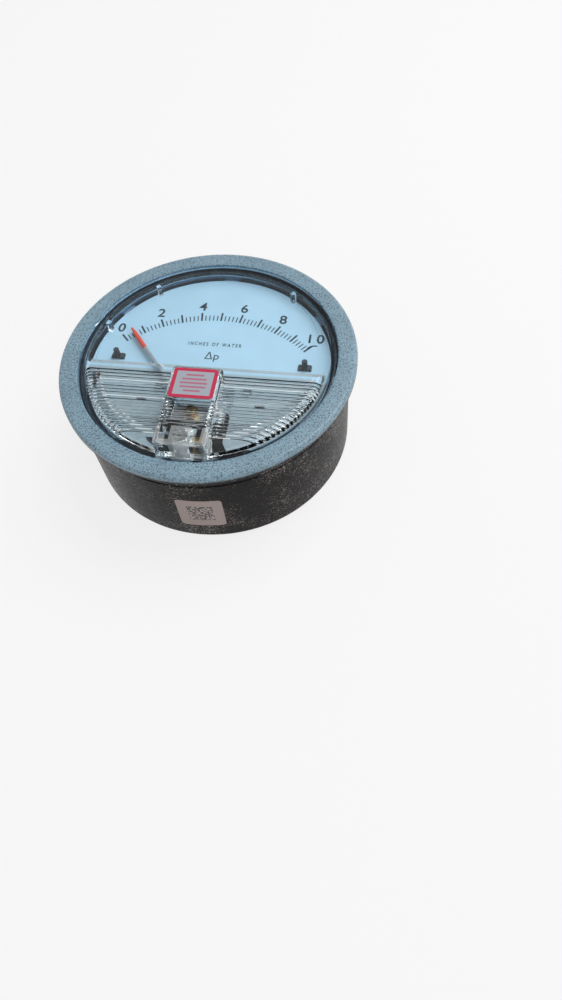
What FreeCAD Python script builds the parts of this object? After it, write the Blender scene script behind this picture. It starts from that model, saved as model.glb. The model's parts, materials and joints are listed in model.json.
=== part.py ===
import FreeCAD, Part
import math
import os

os.makedirs("parts", exist_ok=True)

# Differential pressure gauge with a round dial, lying on its back.
# Millimetres. The origin is the centre of the back face, +Z points out of the dial
# and +Y points to twelve o'clock on the dial.

V = FreeCAD.Vector
UP = V(0, 0, 1)
ALONG_X = V(1, 0, 0)
ALONG_Y = V(0, 1, 0)

# Overall sizes
BODY_R = 57.15                            # case, passes through a 116 mm panel hole
BEZEL_FRONT_Z = 48.5                      # front face of the bezel above the back
FLANGE_OVER = 3.175                       # bezel flange beyond the case
SPINE_RISE = 6.8                          # top of the cover spine above the bezel
BEZEL_R = BODY_R + FLANGE_OVER
SPINE_TOP_Z = BEZEL_FRONT_Z + SPINE_RISE

# Clearances
RUN_FIT = 0.06                            # radial play of a turning pin in its bore
FREE_GAP = 0.3                            # between parts that move past each other
SLIP_GAP = 0.15                           # radial play of assembled round parts
OVERSHOOT = 5.0                           # length by which a cutting tool overruns

# Pointer and scale layout
PIVOT_Y = -30.1                           # pointer axis below the dial centre
SCALE_R = 60.0                            # outer ends of the long scale marks
POINTER_REST = 38.6                       # degrees left of twelve o'clock at rest
POINTER_SHORT = 1.2                       # pointer tip inside the scale radius
STOP_X = 39.2                             # rubber bumpers at the ends of the swing
STOP_Y = 1.4

# Case
REAR_WALL = 3.5
BACK_EDGE = 2.0                           # rounding of the back rim
BACK_RELIEF = 0.8
BACK_RELIEF_R = BODY_R - 20.15
CHAMBER_R = BODY_R - 19.15                # rear, high pressure chamber
LEDGE_Z = 13.0                            # diaphragm seat
SEAT_R = BODY_R - 13.15                   # counterbore over the diaphragm
FLOOR_Z = 22.0                            # floor of the front chamber
NECK_R = BODY_R - 2.55                    # carries the bezel
CAVITY_R = NECK_R - 3.4
SKIRT_Z = BEZEL_FRONT_Z - 9.9             # lower edge of the bezel skirt
SHOULDER_Z = SKIRT_Z - 0.4
NECK_TOP_Z = BEZEL_FRONT_Z - 4.9
SHOULDER_EDGE = 0.5
MOAT_IN_R = SEAT_R + 2.8                  # cored pocket round the diaphragm seat
MOAT_FLOOR_Z = 6.0
MOAT_FROM = -66.0
MOAT_TO = 130.0
LUG_ANGLES = (35.0, 90.0, 145.0)          # cast ribs under the scale plate
LUG_W = 6.0
LUG_IN_R = CAVITY_R - 4.2

# Pressure ports, two for each chamber
PORT_R = 4.3
PORT_DEPTH = 10.0
SIDE_PORT_Z = 16.0
PORT_PCD_R = BODY_R - 10.55
HIGH_ANGLE = 168.0
LOW_ANGLE = 192.0
PASSAGE_R = 1.2
FEED_R = 0.9                              # from the high port into the rear chamber
FEED_Z = 11.2

# Mounting holes in the back
BOLT_PCD_R = BODY_R - 4.76
BOLT_R = 1.42
BOLT_DEPTH = 4.8
BOLT_ANGLES = (90.0, 210.0, 330.0)

# Overpressure plug in the rear wall
PLUG_X = 18.0
PLUG_Y = -18.0
PLUG_HOLE_R = 4.0
PLUG_HEAD_R = 6.0
PLUG_HEAD_H = 0.6
PLUG_LIP_R = 4.9
PLUG_LIP_H = 1.6

# Bezel
BEZEL_OPEN_R = BODY_R - 4.55
FLANGE_T = 4.0
LIP_T = 3.0
FLANGE_TOP_EDGE = 1.6
FLANGE_LOW_EDGE = 0.8
OPEN_EDGE = 0.5
SKIRT_IN_R = NECK_R + SLIP_GAP
FLANGE_Z = BEZEL_FRONT_Z - FLANGE_T
LIP_Z = BEZEL_FRONT_Z - LIP_T

# Cover
COVER_R = BEZEL_OPEN_R - FREE_GAP
COVER_WALL = 2.1
COVER_IN_R = COVER_R - COVER_WALL
COVER_FLANGE_R = NECK_R - FREE_GAP
COVER_FLANGE_Z = LIP_Z - 0.1
WINDOW_TOP_Z = BEZEL_FRONT_Z - 0.3
WINDOW_T = 2.6
WINDOW_LOW_Z = WINDOW_TOP_Z - WINDOW_T
PAD_TOP_Z = BEZEL_FRONT_Z + 1.3
PAD_FOOT_Z = BEZEL_FRONT_Z - 2.0
PAD_FOOT_R = COVER_R - 2.8
PAD_ROUND = PAD_TOP_Z - PAD_FOOT_Z        # rounded shoulder of the pad
PAD_TOP_R = PAD_FOOT_R - PAD_ROUND
PAD_UNDER_Z = BEZEL_FRONT_Z - 1.5
PAD_WALL = 3.0
STEP_FOOT_Y = -6.6                        # sloped step from the window up to the pad
STEP_TOP_Y = -9.5
RIM_FADE_L = 16.0                         # the window's rim sinks beside the pad over this length
RIB_PITCH = 1.5875
RIB_DEPTH = 0.7
RIB_FIRST_Y = -12.2
RIB_LAST_Y = -42.4
SPINE_W = 20.0
SPINE_START_Y = -12.4
SPINE_END_Y = -(COVER_R - 2.8)
SPINE_WALL = 2.2
SPINE_EDGE = 1.5
SPINE_RIB_Y = -29.0                       # ribs start below the flat label field
ZERO_R = 2.9                              # zero screw in the end of the spine
ZERO_WALL = 1.1
BLOCK_L = 2 * (ZERO_R + ZERO_WALL)        # solid end of the spine round the zero screw
BLOCK_LOW_Z = WINDOW_LOW_Z - 1.2
DISH_R = COVER_R - 6.8                    # shallow round recess in the window
DISH_D = 0.25
LABEL_MARGIN = 1.25                       # shallow seat for a label on the spine
LABEL_L = 14.6
LABEL_Y = -21.2
LABEL_D = 0.12
LABEL_ROUND = 1.6
LEG_ANGLES = (52.5, 127.5, 161.0)         # short legs of the cover over the scale plate
LEG_W = 1.8
LEG_IN_R = COVER_IN_R - 2.4
LEG_OUT_R = COVER_IN_R - 0.6
O_RING_R = 0.8
O_RING_GROOVE_W = 1.8
O_RING_GROOVE_D = 1.6
O_RING_PCD_R = (NECK_R + CAVITY_R) / 2

# Scale plate
DIAL_TOP_Z = BEZEL_FRONT_Z - 7.8
DIAL_T = 0.8
DIAL_LOW_Z = DIAL_TOP_Z - DIAL_T
DIAL_R = CAVITY_R - 1.4
DIAL_EDGE_Y = -40.0                       # straight lower edge
OPENING_HALF_W = 13.2                     # opening round the wishbone and the magnet
OPENING_PAST_PIVOT = 7.1
OPENING_ROUND = 4.0
POST_X = 18.0
POST_Y = -13.0
POST_R = 2.5
SLOT_X = 24.0
SLOT_Y = -19.0
SLOT_L = 4.0
SLOT_W = 1.6
SCALE_SCREW_HEAD_R = 1.7                  # low heads, which the pointer passes over
SCALE_SCREW_HEAD_H = 0.9
STOP_FOOT_W = 5.6
STOP_FOOT_L = 2.6
STOP_FOOT_H = 1.0
STOP_FOOT_ROUND = 0.7
STOP_STEM_R = 1.15
STOP_TIP_ROUND = 0.3
STOP_SHANK_R = 0.8
STOP_BULB_R = 1.4
STOP_BULB_H = 1.5

# Diaphragm and its clamping
MEMBRANE_T = 0.6
RIM_T = 1.0
RIM_IN_R = CHAMBER_R - 1.15
CONVOLUTION_PCD_R = CHAMBER_R - 4.25
CONVOLUTION_R = 3.4
BACKING_R = CHAMBER_R - 10.0
BACKING_T = 1.0
SEAL_R = SEAT_R - FREE_GAP
SEAL_RIM_W = 5.2
SEAL_TOP_Z = 18.4
SEAL_WEB_T = 2.0
SEAL_HOLE_R = 9.0
RING_T = 1.2
RING_W = 4.0
RING_GROOVE_D = 0.9
RING_GAP_DEG = 24.0

# Screws
SCREW_R = 1.2
SCREW_HEAD_R = 2.2
SCREW_HEAD_H = 1.4
SCREW_TAPPED = 1.6                        # length held in the part below

# Range spring, its clamp and the zero adjusting foot
FOOT_Z = FLOOR_Z + 1.0
FOOT_T = 1.2
FOOT_TOP_Z = FOOT_Z + FOOT_T
FOOT_LEFT_X = -11.0
FOOT_ARM_IN_X = 22.0
FOOT_ARM_OUT_X = 27.0
FOOT_TOP_Y = 32.0
FOOT_LOW_Y = 19.0
FOOT_EAR_W = 9.0
FOOT_EAR_Y = 39.5
FOOT_SCREW_X = 6.0
FOOT_SCREW_Y = 36.0
FOOT_BEND_Y = -27.0
FOOT_TURN_X = 17.0
FOOT_TAB_X = 5.0
SPACER_R = 2.8
WASHER_R = 2.8
WASHER_T = 0.5
CLAMP_FRONT_Y = 22.0
CLAMP_L = 9.0
CLAMP_W = 14.0
CLAMP_BASE_T = 2.8
CLAMP_PLATE_T = 1.6
CLAMP_SCREW_X = 5.0
SPRING_T = 0.35
SPRING_W = 6.0
SPRING_Z = FOOT_TOP_Z + CLAMP_BASE_T
SPRING_END_Y = PIVOT_Y + 10.0
LINK_R = 1.1
LINK_HOLE_R = LINK_R + 0.4
LINK_COLLAR_R = 2.6
LINK_COLLAR_H = 0.7
LINK_PLAY = 0.4                           # between the spring and the link collars
LINK_NUT_H = 1.5
LINK_TAIL = 1.2

# Magnet, helix and pointer shaft
MAGNET_H = 5.0
MAGNET_HALF_W = 8.0
POLE_IN_X = 5.0
MAGNET_YOKE_L = 5.0
POLE_PAST_PIVOT = 3.2
RIVET_R = 1.0
RIVET_HEAD_R = 1.8
RIVET_HEAD_H = 1.0
SHAFT_R = 0.8
PIVOT_PIN_R = 0.3
PIVOT_PIN_L = 0.8
HELIX_R = 4.0
HELIX_CORE_R = 1.4
HELIX_LEAD = 12.0
HELIX_T = 0.6
HELIX_BELOW_SPRING = 3.0
HELIX_H = 12.0
POINTER_Z = DIAL_TOP_Z + 2.2
POINTER_R = 0.95
POINTER_TIP_R = 0.4
POINTER_TIP_L = 4.0
HUB_R = 2.0
HUB_H = 2.0
TAIL_L = 11.0
TAIL_R = 0.7
WEIGHT_R = 1.3
WEIGHT_L = 4.0

# Wishbone that carries the jewel bearings
WISH_W = 6.0
WISH_BASE_T = 2.5
WISH_LEG_IN_X = 10.0
WISH_LEG_T = 2.5
WISH_EAR_X = 16.6
WISH_SCREW_X = 14.2
WISH_SCREW_HEAD_R = 1.6
BRIDGE_Z = WINDOW_LOW_Z - 0.8
BRIDGE_T = 1.8
JEWEL_R = 1.5
JEWEL_H = 1.4
JEWEL_CUP_R = 0.5
JEWEL_CUP_D = 0.6
JEWEL_PLAY = 0.1
JEWEL_SCREW_R = 1.7
JEWEL_SCREW_TOP_Z = SPINE_TOP_Z - 4.8
JEWEL_NUT_R = 3.1
JEWEL_NUT_H = 1.5

# Zero adjustment
ZERO_Y = SPINE_END_Y + ZERO_R + ZERO_WALL
ZERO_TOP_Z = SPINE_TOP_Z - 0.4
ZERO_SLOT_W = 0.8
ZERO_SLOT_D = 1.1
ZERO_BLADE_W = 0.6
ZERO_BLADE_L = 1.0
ZERO_GROOVE_Z = SPINE_TOP_Z - 5.0
ZERO_GROOVE_H = 1.2
ZERO_GROOVE_R = ZERO_R - 1.0
ZERO_SEAL_R = 0.45
ZERO_SEAL_PCD_R = ZERO_R - ZERO_SEAL_R
CLIP_R = ZERO_R + 1.0
CLIP_IN_R = ZERO_R - 0.5
CLIP_T = 0.5
CLIP_UNDER = 0.2                          # clip below the cover block
ZERO_TIP_L = 1.6                          # screw below the cover block
DRIVE_R = 1.6
DRIVE_HEAD_R = 2.6
DRIVE_HEAD_H = 1.8
DRIVE_SLOT_D = 1.2
DRIVE_PLAY = 0.2
BRACKET_HALF_W = 12.8
BRACKET_IN_Y = PIVOT_Y - WISH_W / 2 - 1.2
BRACKET_OUT_Y = ZERO_Y - 3.2
BRACKET_LEG_W = 5.0
BRACKET_LOW_Z = FLOOR_Z + 7.0
BRACKET_TOP_Z = DIAL_LOW_Z - 2.9


def cylinder(radius, low, high, x=0.0, y=0.0):
    """Upright cylinder between two heights."""
    return Part.makeCylinder(radius, high - low, V(x, y, low), UP)


def ring(outer, inner, low, high, x=0.0, y=0.0):
    """Upright tube between two heights."""
    return cylinder(outer, low, high, x, y).cut(cylinder(inner, low, high, x, y))


def block(x0, x1, y0, y1, low, high):
    """Box between two corners."""
    return Part.makeBox(x1 - x0, y1 - y0, high - low, V(x0, y0, low))


def plate(points, low, high):
    """Flat plate from its outline in the XY plane."""
    corners = [V(x, y, low) for x, y in points]
    return Part.Face(Part.makePolygon(corners + corners[:1])).extrude(V(0, 0, high - low))


def turned(points, x=0.0, y=0.0):
    """Solid of revolution from (radius, height) corners."""
    corners = [V(r, 0, z) for r, z in points]
    face = Part.Face(Part.makePolygon(corners + corners[:1]))
    shape = face.revolve(V(0, 0, 0), UP, 360)
    shape.translate(V(x, y, 0))
    return shape


def round_rims(shape, radius, rims):
    """Round circular edges, each given as (radius, height)."""
    chosen = []
    for edge in shape.Edges:
        curve = edge.Curve
        if not isinstance(curve, Part.Circle):
            continue
        for r, z in rims:
            if abs(curve.Radius - r) < 1e-4 and abs(curve.Center.z - z) < 1e-4:
                chosen.append(edge)
    return shape.makeFillet(radius, chosen)


def polar(radius, degrees):
    """Point at a radius and an angle from three o'clock."""
    turn = math.radians(degrees)
    return radius * math.cos(turn), radius * math.sin(turn)


def radial(shape, degrees):
    """Turn a shape made along +X to an angle about the gauge axis."""
    copy = shape.copy()
    copy.rotate(V(0, 0, 0), UP, degrees)
    return copy


def screw(x, y, seat, shank_low, head_r=SCREW_HEAD_R, head_h=SCREW_HEAD_H):
    """Round headed screw whose head sits at a height."""
    head = cylinder(head_r, seat, seat + head_h, x, y)
    return head.fuse(cylinder(SCREW_R, shank_low, seat, x, y)).removeSplitter()


def screw_hole(x, y, low, high):
    """Bore that clears a screw shank."""
    return cylinder(SCREW_R + SLIP_GAP, low, high, x, y)


def both_sides(make, x):
    """The same solid left and right of the centre line."""
    return Part.makeCompound([make(-x), make(x)])


def save(name, shape):
    """Write one sub-part."""
    shape.exportStep("parts/" + name + ".step")


# Case: a cast cup with a rear chamber, a diaphragm seat and a neck for the bezel
case = turned([
    (0, 0), (BODY_R, 0), (BODY_R, SHOULDER_Z), (NECK_R, SHOULDER_Z), (NECK_R, NECK_TOP_Z),
    (CAVITY_R, NECK_TOP_Z), (CAVITY_R, FLOOR_Z), (SEAT_R, FLOOR_Z), (SEAT_R, LEDGE_Z),
    (CHAMBER_R, LEDGE_Z), (CHAMBER_R, REAR_WALL), (0, REAR_WALL)])
case = round_rims(case, BACK_EDGE, [(BODY_R, 0)])
case = round_rims(case, SHOULDER_EDGE, [(BODY_R, SHOULDER_Z)])

moat = Part.makeCylinder(CAVITY_R, FLOOR_Z - MOAT_FLOOR_Z, V(0, 0, MOAT_FLOOR_Z), UP, MOAT_TO - MOAT_FROM)
moat = radial(moat.cut(cylinder(MOAT_IN_R, MOAT_FLOOR_Z, FLOOR_Z)), MOAT_FROM)
lug = block(LUG_IN_R, CAVITY_R + COVER_WALL, -LUG_W / 2, LUG_W / 2, MOAT_FLOOR_Z, DIAL_LOW_Z)
case = case.cut(moat).fuse([radial(lug, angle) for angle in LUG_ANGLES])

ring_groove = ring(SEAT_R + RING_GROOVE_D, SEAT_R - OVERSHOOT, SEAL_TOP_Z, SEAL_TOP_Z + RING_T + SLIP_GAP)
o_ring_groove = ring(
    O_RING_PCD_R + O_RING_GROOVE_W / 2, O_RING_PCD_R - O_RING_GROOVE_W / 2,
    NECK_TOP_Z - O_RING_GROOVE_D, NECK_TOP_Z)
back_relief = cylinder(BACK_RELIEF_R, 0, BACK_RELIEF)
case_cuts = [ring_groove, o_ring_groove, back_relief]

port_x = PORT_PCD_R
side_port = Part.makeCylinder(
    PORT_R, PORT_DEPTH + OVERSHOOT, V(BODY_R - PORT_DEPTH, 0, SIDE_PORT_Z), ALONG_X)
side_link = Part.makeCylinder(
    PASSAGE_R, BODY_R - PORT_DEPTH - port_x, V(port_x, 0, SIDE_PORT_Z), ALONG_X)
rear_port = cylinder(PORT_R, 0, PORT_DEPTH, port_x)
rear_link = cylinder(PASSAGE_R, PORT_DEPTH, SIDE_PORT_Z + PASSAGE_R, port_x)
for angle in (HIGH_ANGLE, LOW_ANGLE):
    case_cuts += [radial(tool, angle) for tool in (side_port, side_link, rear_port, rear_link)]
feed = Part.makeCylinder(FEED_R, port_x - CHAMBER_R + FEED_R, V(CHAMBER_R - FEED_R, 0, FEED_Z), ALONG_X)
case_cuts.append(radial(feed, HIGH_ANGLE))
vent = cylinder(PASSAGE_R, SIDE_PORT_Z, FLOOR_Z, port_x)
case_cuts.append(radial(vent, LOW_ANGLE))

for angle in BOLT_ANGLES:
    hole_x, hole_y = polar(BOLT_PCD_R, angle)
    case_cuts.append(cylinder(BOLT_R, 0, BOLT_DEPTH, hole_x, hole_y))
case_cuts.append(cylinder(PLUG_HOLE_R, 0, REAR_WALL, PLUG_X, PLUG_Y))
for side in (-1, 1):
    case_cuts.append(screw_hole(
        side * (BRACKET_HALF_W - BRACKET_LEG_W / 2), ZERO_Y, FLOOR_Z - SCREW_TAPPED, FLOOR_Z))
case = case.cut(case_cuts).removeSplitter()
save("case", case)

overpressure_plug = turned([
    (0, BACK_RELIEF - PLUG_HEAD_H), (PLUG_HEAD_R, BACK_RELIEF - PLUG_HEAD_H), (PLUG_HEAD_R, BACK_RELIEF),
    (PLUG_HOLE_R - SLIP_GAP, BACK_RELIEF), (PLUG_HOLE_R - SLIP_GAP, REAR_WALL),
    (PLUG_LIP_R, REAR_WALL), (PLUG_HOLE_R - SLIP_GAP, REAR_WALL + PLUG_LIP_H), (0, REAR_WALL + PLUG_LIP_H)],
    PLUG_X, PLUG_Y)
save("overpressure_plug", overpressure_plug)

# Bezel: screws onto the case neck and holds the cover down
bezel = turned([
    (BEZEL_OPEN_R, LIP_Z), (SKIRT_IN_R, LIP_Z), (SKIRT_IN_R, SKIRT_Z), (BODY_R, SKIRT_Z),
    (BODY_R, FLANGE_Z), (BEZEL_R, FLANGE_Z), (BEZEL_R, BEZEL_FRONT_Z), (BEZEL_OPEN_R, BEZEL_FRONT_Z)])
bezel = round_rims(bezel, FLANGE_TOP_EDGE, [(BEZEL_R, BEZEL_FRONT_Z)])
bezel = round_rims(bezel, FLANGE_LOW_EDGE, [(BEZEL_R, FLANGE_Z)])
bezel = round_rims(bezel, OPEN_EDGE, [(BEZEL_OPEN_R, BEZEL_FRONT_Z), (BODY_R, SKIRT_Z)])
save("bezel", bezel)

# Cover: clear moulding with a flat window, a ribbed pad and a raised spine
cover_o_ring = Part.makeTorus(O_RING_PCD_R, O_RING_R - SLIP_GAP / 2, V(0, 0, NECK_TOP_Z - O_RING_R), UP)
save("cover_o_ring", cover_o_ring)


def across(profile):
    """Solid right across the gauge from an upright profile of (y, z) corners."""
    corners = [V(-BODY_R, y, z) for y, z in profile]
    return Part.Face(Part.makePolygon(corners + corners[:1])).extrude(V(2 * BODY_R, 0, 0))


def pad_form(depth):
    """Pad with a rounded shoulder and a sloped step, sunk by a depth below its full size."""
    round_r = PAD_ROUND - depth
    lean = round_r * math.sqrt(0.5)
    low = V(0, 0, PAD_FOOT_Z)
    foot = V(PAD_TOP_R + round_r, 0, PAD_FOOT_Z)
    middle = V(PAD_TOP_R + lean, 0, PAD_FOOT_Z + lean)
    shoulder = V(PAD_TOP_R, 0, PAD_FOOT_Z + round_r)
    top = V(0, 0, PAD_FOOT_Z + round_r)
    outline = Part.Wire([
        Part.makeLine(low, foot), Part.Arc(foot, middle, shoulder).toShape(),
        Part.makeLine(shoulder, top), Part.makeLine(top, low)])
    disc = Part.Face(outline).revolve(V(0, 0, 0), UP, 360)
    return disc.common(across([
        (STEP_FOOT_Y, PAD_FOOT_Z), (STEP_FOOT_Y, WINDOW_TOP_Z), (STEP_TOP_Y, PAD_TOP_Z),
        (-BODY_R, PAD_TOP_Z), (-BODY_R, PAD_FOOT_Z)]))


def spine_form(depth):
    """Raised spine with rounded edges, sunk by a depth below its full size."""
    half = SPINE_W / 2 - depth
    form = block(-half, half, SPINE_END_Y + depth, SPINE_START_Y - depth, PAD_FOOT_Z, SPINE_TOP_Z - depth)
    upper_edges = [edge for edge in form.Edges if edge.BoundBox.ZMax > PAD_TOP_Z]
    return form.makeFillet(SPINE_EDGE - depth, upper_edges)


def ribbed(form, first_y, last_y):
    """Form with cross ribs, each half a pitch wide, between two places below the dial centre."""
    count = int((first_y - last_y) / RIB_PITCH)
    lands = [block(-BODY_R, BODY_R, first_y, BODY_R, PAD_FOOT_Z, SPINE_TOP_Z)]
    for index in range(1, count):
        rib_y = first_y - index * RIB_PITCH
        lands.append(block(-BODY_R, BODY_R, rib_y, rib_y + RIB_PITCH / 2, PAD_FOOT_Z, SPINE_TOP_Z))
    end_y = first_y - count * RIB_PITCH + RIB_PITCH / 2
    lands.append(block(-BODY_R, BODY_R, -BODY_R, end_y, PAD_FOOT_Z, SPINE_TOP_Z))
    return form(RIB_DEPTH).fuse(form(0).common(Part.makeCompound(lands)))


upper_half = block(-BODY_R, BODY_R, STEP_FOOT_Y, BODY_R, NECK_TOP_Z, SPINE_TOP_Z)
window = cylinder(COVER_R, NECK_TOP_Z, WINDOW_TOP_Z).common(upper_half)
cover_foot = cylinder(COVER_R, NECK_TOP_Z, PAD_FOOT_Z)
cover_flange = cylinder(COVER_FLANGE_R, NECK_TOP_Z, COVER_FLANGE_Z)
window = window.cut(cylinder(DISH_R, WINDOW_TOP_Z - DISH_D, WINDOW_TOP_Z))
pad = ribbed(pad_form, RIB_FIRST_Y, RIB_LAST_Y)
spine = ribbed(spine_form, SPINE_RIB_Y, RIB_LAST_Y)
rim_fade = ring(COVER_R, PAD_TOP_R, PAD_FOOT_Z, WINDOW_TOP_Z).common(across([
    (STEP_FOOT_Y, PAD_FOOT_Z), (STEP_FOOT_Y, WINDOW_TOP_Z), (STEP_FOOT_Y - RIM_FADE_L, PAD_FOOT_Z)]))
cover = cover_foot.fuse([cover_flange, window, rim_fade, pad, spine])

hollow_top_r = PAD_TOP_R - PAD_WALL
pad_hollow = Part.makeCone(
    PAD_FOOT_R - PAD_WALL, hollow_top_r, PAD_UNDER_Z - WINDOW_LOW_Z, V(0, 0, WINDOW_LOW_Z), UP)
pad_hollow = pad_hollow.common(
    block(-BODY_R, BODY_R, -BODY_R, STEP_TOP_Y - PAD_WALL, WINDOW_LOW_Z, SPINE_TOP_Z))
spine_hollow = block(
    SPINE_WALL - SPINE_W / 2, SPINE_W / 2 - SPINE_WALL, SPINE_END_Y + BLOCK_L, SPINE_START_Y - SPINE_WALL,
    WINDOW_LOW_Z, SPINE_TOP_Z - SPINE_WALL)
cover = cover.cut([cylinder(COVER_IN_R, NECK_TOP_Z, WINDOW_LOW_Z), pad_hollow, spine_hollow])
leg = block(LEG_IN_R, LEG_OUT_R, -LEG_W / 2, LEG_W / 2, DIAL_TOP_Z + FREE_GAP, WINDOW_LOW_Z)
cover = cover.fuse([radial(leg, angle) for angle in LEG_ANGLES])
end_block = block(
    -SPINE_W / 2, SPINE_W / 2, SPINE_END_Y, SPINE_END_Y + BLOCK_L, BLOCK_LOW_Z, PAD_TOP_Z)
cover = cover.fuse(end_block.common(cylinder(COVER_R, BLOCK_LOW_Z, PAD_TOP_Z)))
label_half_w = SPINE_W / 2 - LABEL_MARGIN
label_seat = block(
    -label_half_w, label_half_w, LABEL_Y - LABEL_L / 2, LABEL_Y + LABEL_L / 2,
    SPINE_TOP_Z - LABEL_D, SPINE_TOP_Z + OVERSHOOT)
label_corners = [edge for edge in label_seat.Edges if edge.BoundBox.ZLength > LABEL_D]
zero_bore = cylinder(ZERO_R + RUN_FIT, BLOCK_LOW_Z, SPINE_TOP_Z, 0, ZERO_Y)
cover = cover.cut([zero_bore, label_seat.makeFillet(LABEL_ROUND, label_corners)]).removeSplitter()
save("cover", cover)

# Scale plate with an opening over the movement, its posts and screws, and the rubber pointer stops
scale_plate = cylinder(DIAL_R, DIAL_LOW_Z, DIAL_TOP_Z)
scale_plate = scale_plate.common(block(-BODY_R, BODY_R, DIAL_EDGE_Y, BODY_R, DIAL_LOW_Z, DIAL_TOP_Z))
opening_top_y = PIVOT_Y + OPENING_PAST_PIVOT
opening = block(-OPENING_HALF_W, OPENING_HALF_W, -BODY_R, opening_top_y, DIAL_LOW_Z, DIAL_TOP_Z)
opening_corners = [
    edge for edge in opening.Edges
    if edge.BoundBox.ZLength > DIAL_T / 2 and edge.BoundBox.YMin > DIAL_EDGE_Y]
scale_plate = scale_plate.cut(opening.makeFillet(OPENING_ROUND, opening_corners))
for side in (-1, 1):
    slot_x = side * SLOT_X
    scale_plate = scale_plate.cut([
        screw_hole(side * POST_X, POST_Y, DIAL_LOW_Z, DIAL_TOP_Z),
        cylinder(STOP_SHANK_R + SLIP_GAP, DIAL_LOW_Z, DIAL_TOP_Z, side * STOP_X, STOP_Y),
        block(slot_x - SLOT_L / 2, slot_x + SLOT_L / 2, SLOT_Y - SLOT_W, SLOT_Y, DIAL_LOW_Z, DIAL_TOP_Z)])
scale_plate = scale_plate.removeSplitter()
save("scale_plate", scale_plate)

save("scale_posts", both_sides(
    lambda x: cylinder(POST_R, SEAL_TOP_Z, DIAL_LOW_Z, x, POST_Y).cut(
        screw_hole(x, POST_Y, DIAL_LOW_Z - 2 * SCREW_TAPPED, DIAL_LOW_Z)), POST_X))
scale_shank_low = DIAL_LOW_Z - SCREW_TAPPED
save("scale_screws", both_sides(
    lambda x: screw(x, POST_Y, DIAL_TOP_Z, scale_shank_low, SCALE_SCREW_HEAD_R, SCALE_SCREW_HEAD_H), POST_X))

stop_top_z = WINDOW_LOW_Z - FREE_GAP


def pointer_stop(x):
    """Rubber bumper: a round post on a foot that is snapped into the scale plate."""
    foot = block(
        x - STOP_FOOT_W / 2, x + STOP_FOOT_W / 2, STOP_Y - STOP_FOOT_L / 2, STOP_Y + STOP_FOOT_L / 2,
        DIAL_TOP_Z, DIAL_TOP_Z + STOP_FOOT_H)
    shoulders = [
        edge for edge in foot.Edges
        if edge.BoundBox.ZMin > DIAL_TOP_Z + STOP_FOOT_ROUND and edge.BoundBox.XLength < STOP_FOOT_ROUND]
    post = cylinder(STOP_STEM_R, DIAL_TOP_Z, stop_top_z, x, STOP_Y)
    tip = [edge for edge in post.Edges if edge.BoundBox.ZMin > stop_top_z - STOP_TIP_ROUND]
    shank = turned([
        (0, DIAL_LOW_Z - STOP_BULB_H), (STOP_SHANK_R / 2, DIAL_LOW_Z - STOP_BULB_H),
        (STOP_BULB_R, DIAL_LOW_Z), (STOP_SHANK_R, DIAL_LOW_Z), (STOP_SHANK_R, DIAL_TOP_Z), (0, DIAL_TOP_Z)],
        x, STOP_Y)
    foot = foot.makeFillet(STOP_FOOT_ROUND, shoulders)
    return foot.fuse([post.makeFillet(STOP_TIP_ROUND, tip), shank]).removeSplitter()


save("pointer_stop_left", pointer_stop(-STOP_X))
save("pointer_stop_right", pointer_stop(STOP_X))

# Diaphragm, clamped by a dished sealing plate and a snap ring
rim_top_z = LEDGE_Z + RIM_T
membrane_z = LEDGE_Z + RIM_T / 2
roll_out_r = CONVOLUTION_R + MEMBRANE_T / 2
roll_in_r = CONVOLUTION_R - MEMBRANE_T / 2


def half_circle(radius):
    """Lower half circle of the rolled part of the diaphragm."""
    return Part.Arc(
        V(CONVOLUTION_PCD_R - radius, 0, membrane_z), V(CONVOLUTION_PCD_R, 0, membrane_z - radius),
        V(CONVOLUTION_PCD_R + radius, 0, membrane_z)).toShape()


roll_ends = [
    Part.makeLine(V(CONVOLUTION_PCD_R + sign * roll_in_r, 0, membrane_z),
                  V(CONVOLUTION_PCD_R + sign * roll_out_r, 0, membrane_z)) for sign in (-1, 1)]
roll_wire = Part.Wire(Part.__sortEdges__([half_circle(roll_out_r), half_circle(roll_in_r)] + roll_ends))
roll = Part.Face(roll_wire).revolve(V(0, 0, 0), UP, 360)
membrane = cylinder(
    CONVOLUTION_PCD_R - roll_in_r, membrane_z - MEMBRANE_T / 2, membrane_z + MEMBRANE_T / 2)
membrane = membrane.cut(cylinder(LINK_R + SLIP_GAP, LEDGE_Z, rim_top_z))
rim = ring(SEAL_R, RIM_IN_R, LEDGE_Z, rim_top_z)
diaphragm = roll.fuse([membrane, rim]).removeSplitter()
save("diaphragm", diaphragm)

sealing_plate = ring(SEAL_R, SEAL_R - SEAL_RIM_W, rim_top_z, SEAL_TOP_Z)
web = cylinder(SEAL_R - SEAL_RIM_W, SEAL_TOP_Z - SEAL_WEB_T, SEAL_TOP_Z)
sealing_plate = sealing_plate.fuse(web)
seal_low_z = SEAL_TOP_Z - SCREW_TAPPED
seal_holes = [cylinder(SEAL_HOLE_R, rim_top_z, SEAL_TOP_Z)]
for side in (-1, 1):
    seal_holes.append(screw_hole(side * FOOT_SCREW_X, FOOT_SCREW_Y, seal_low_z, SEAL_TOP_Z))
    seal_holes.append(screw_hole(side * WISH_SCREW_X, PIVOT_Y, seal_low_z, SEAL_TOP_Z))
sealing_plate = sealing_plate.cut(seal_holes).removeSplitter()
save("sealing_plate", sealing_plate)

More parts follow.
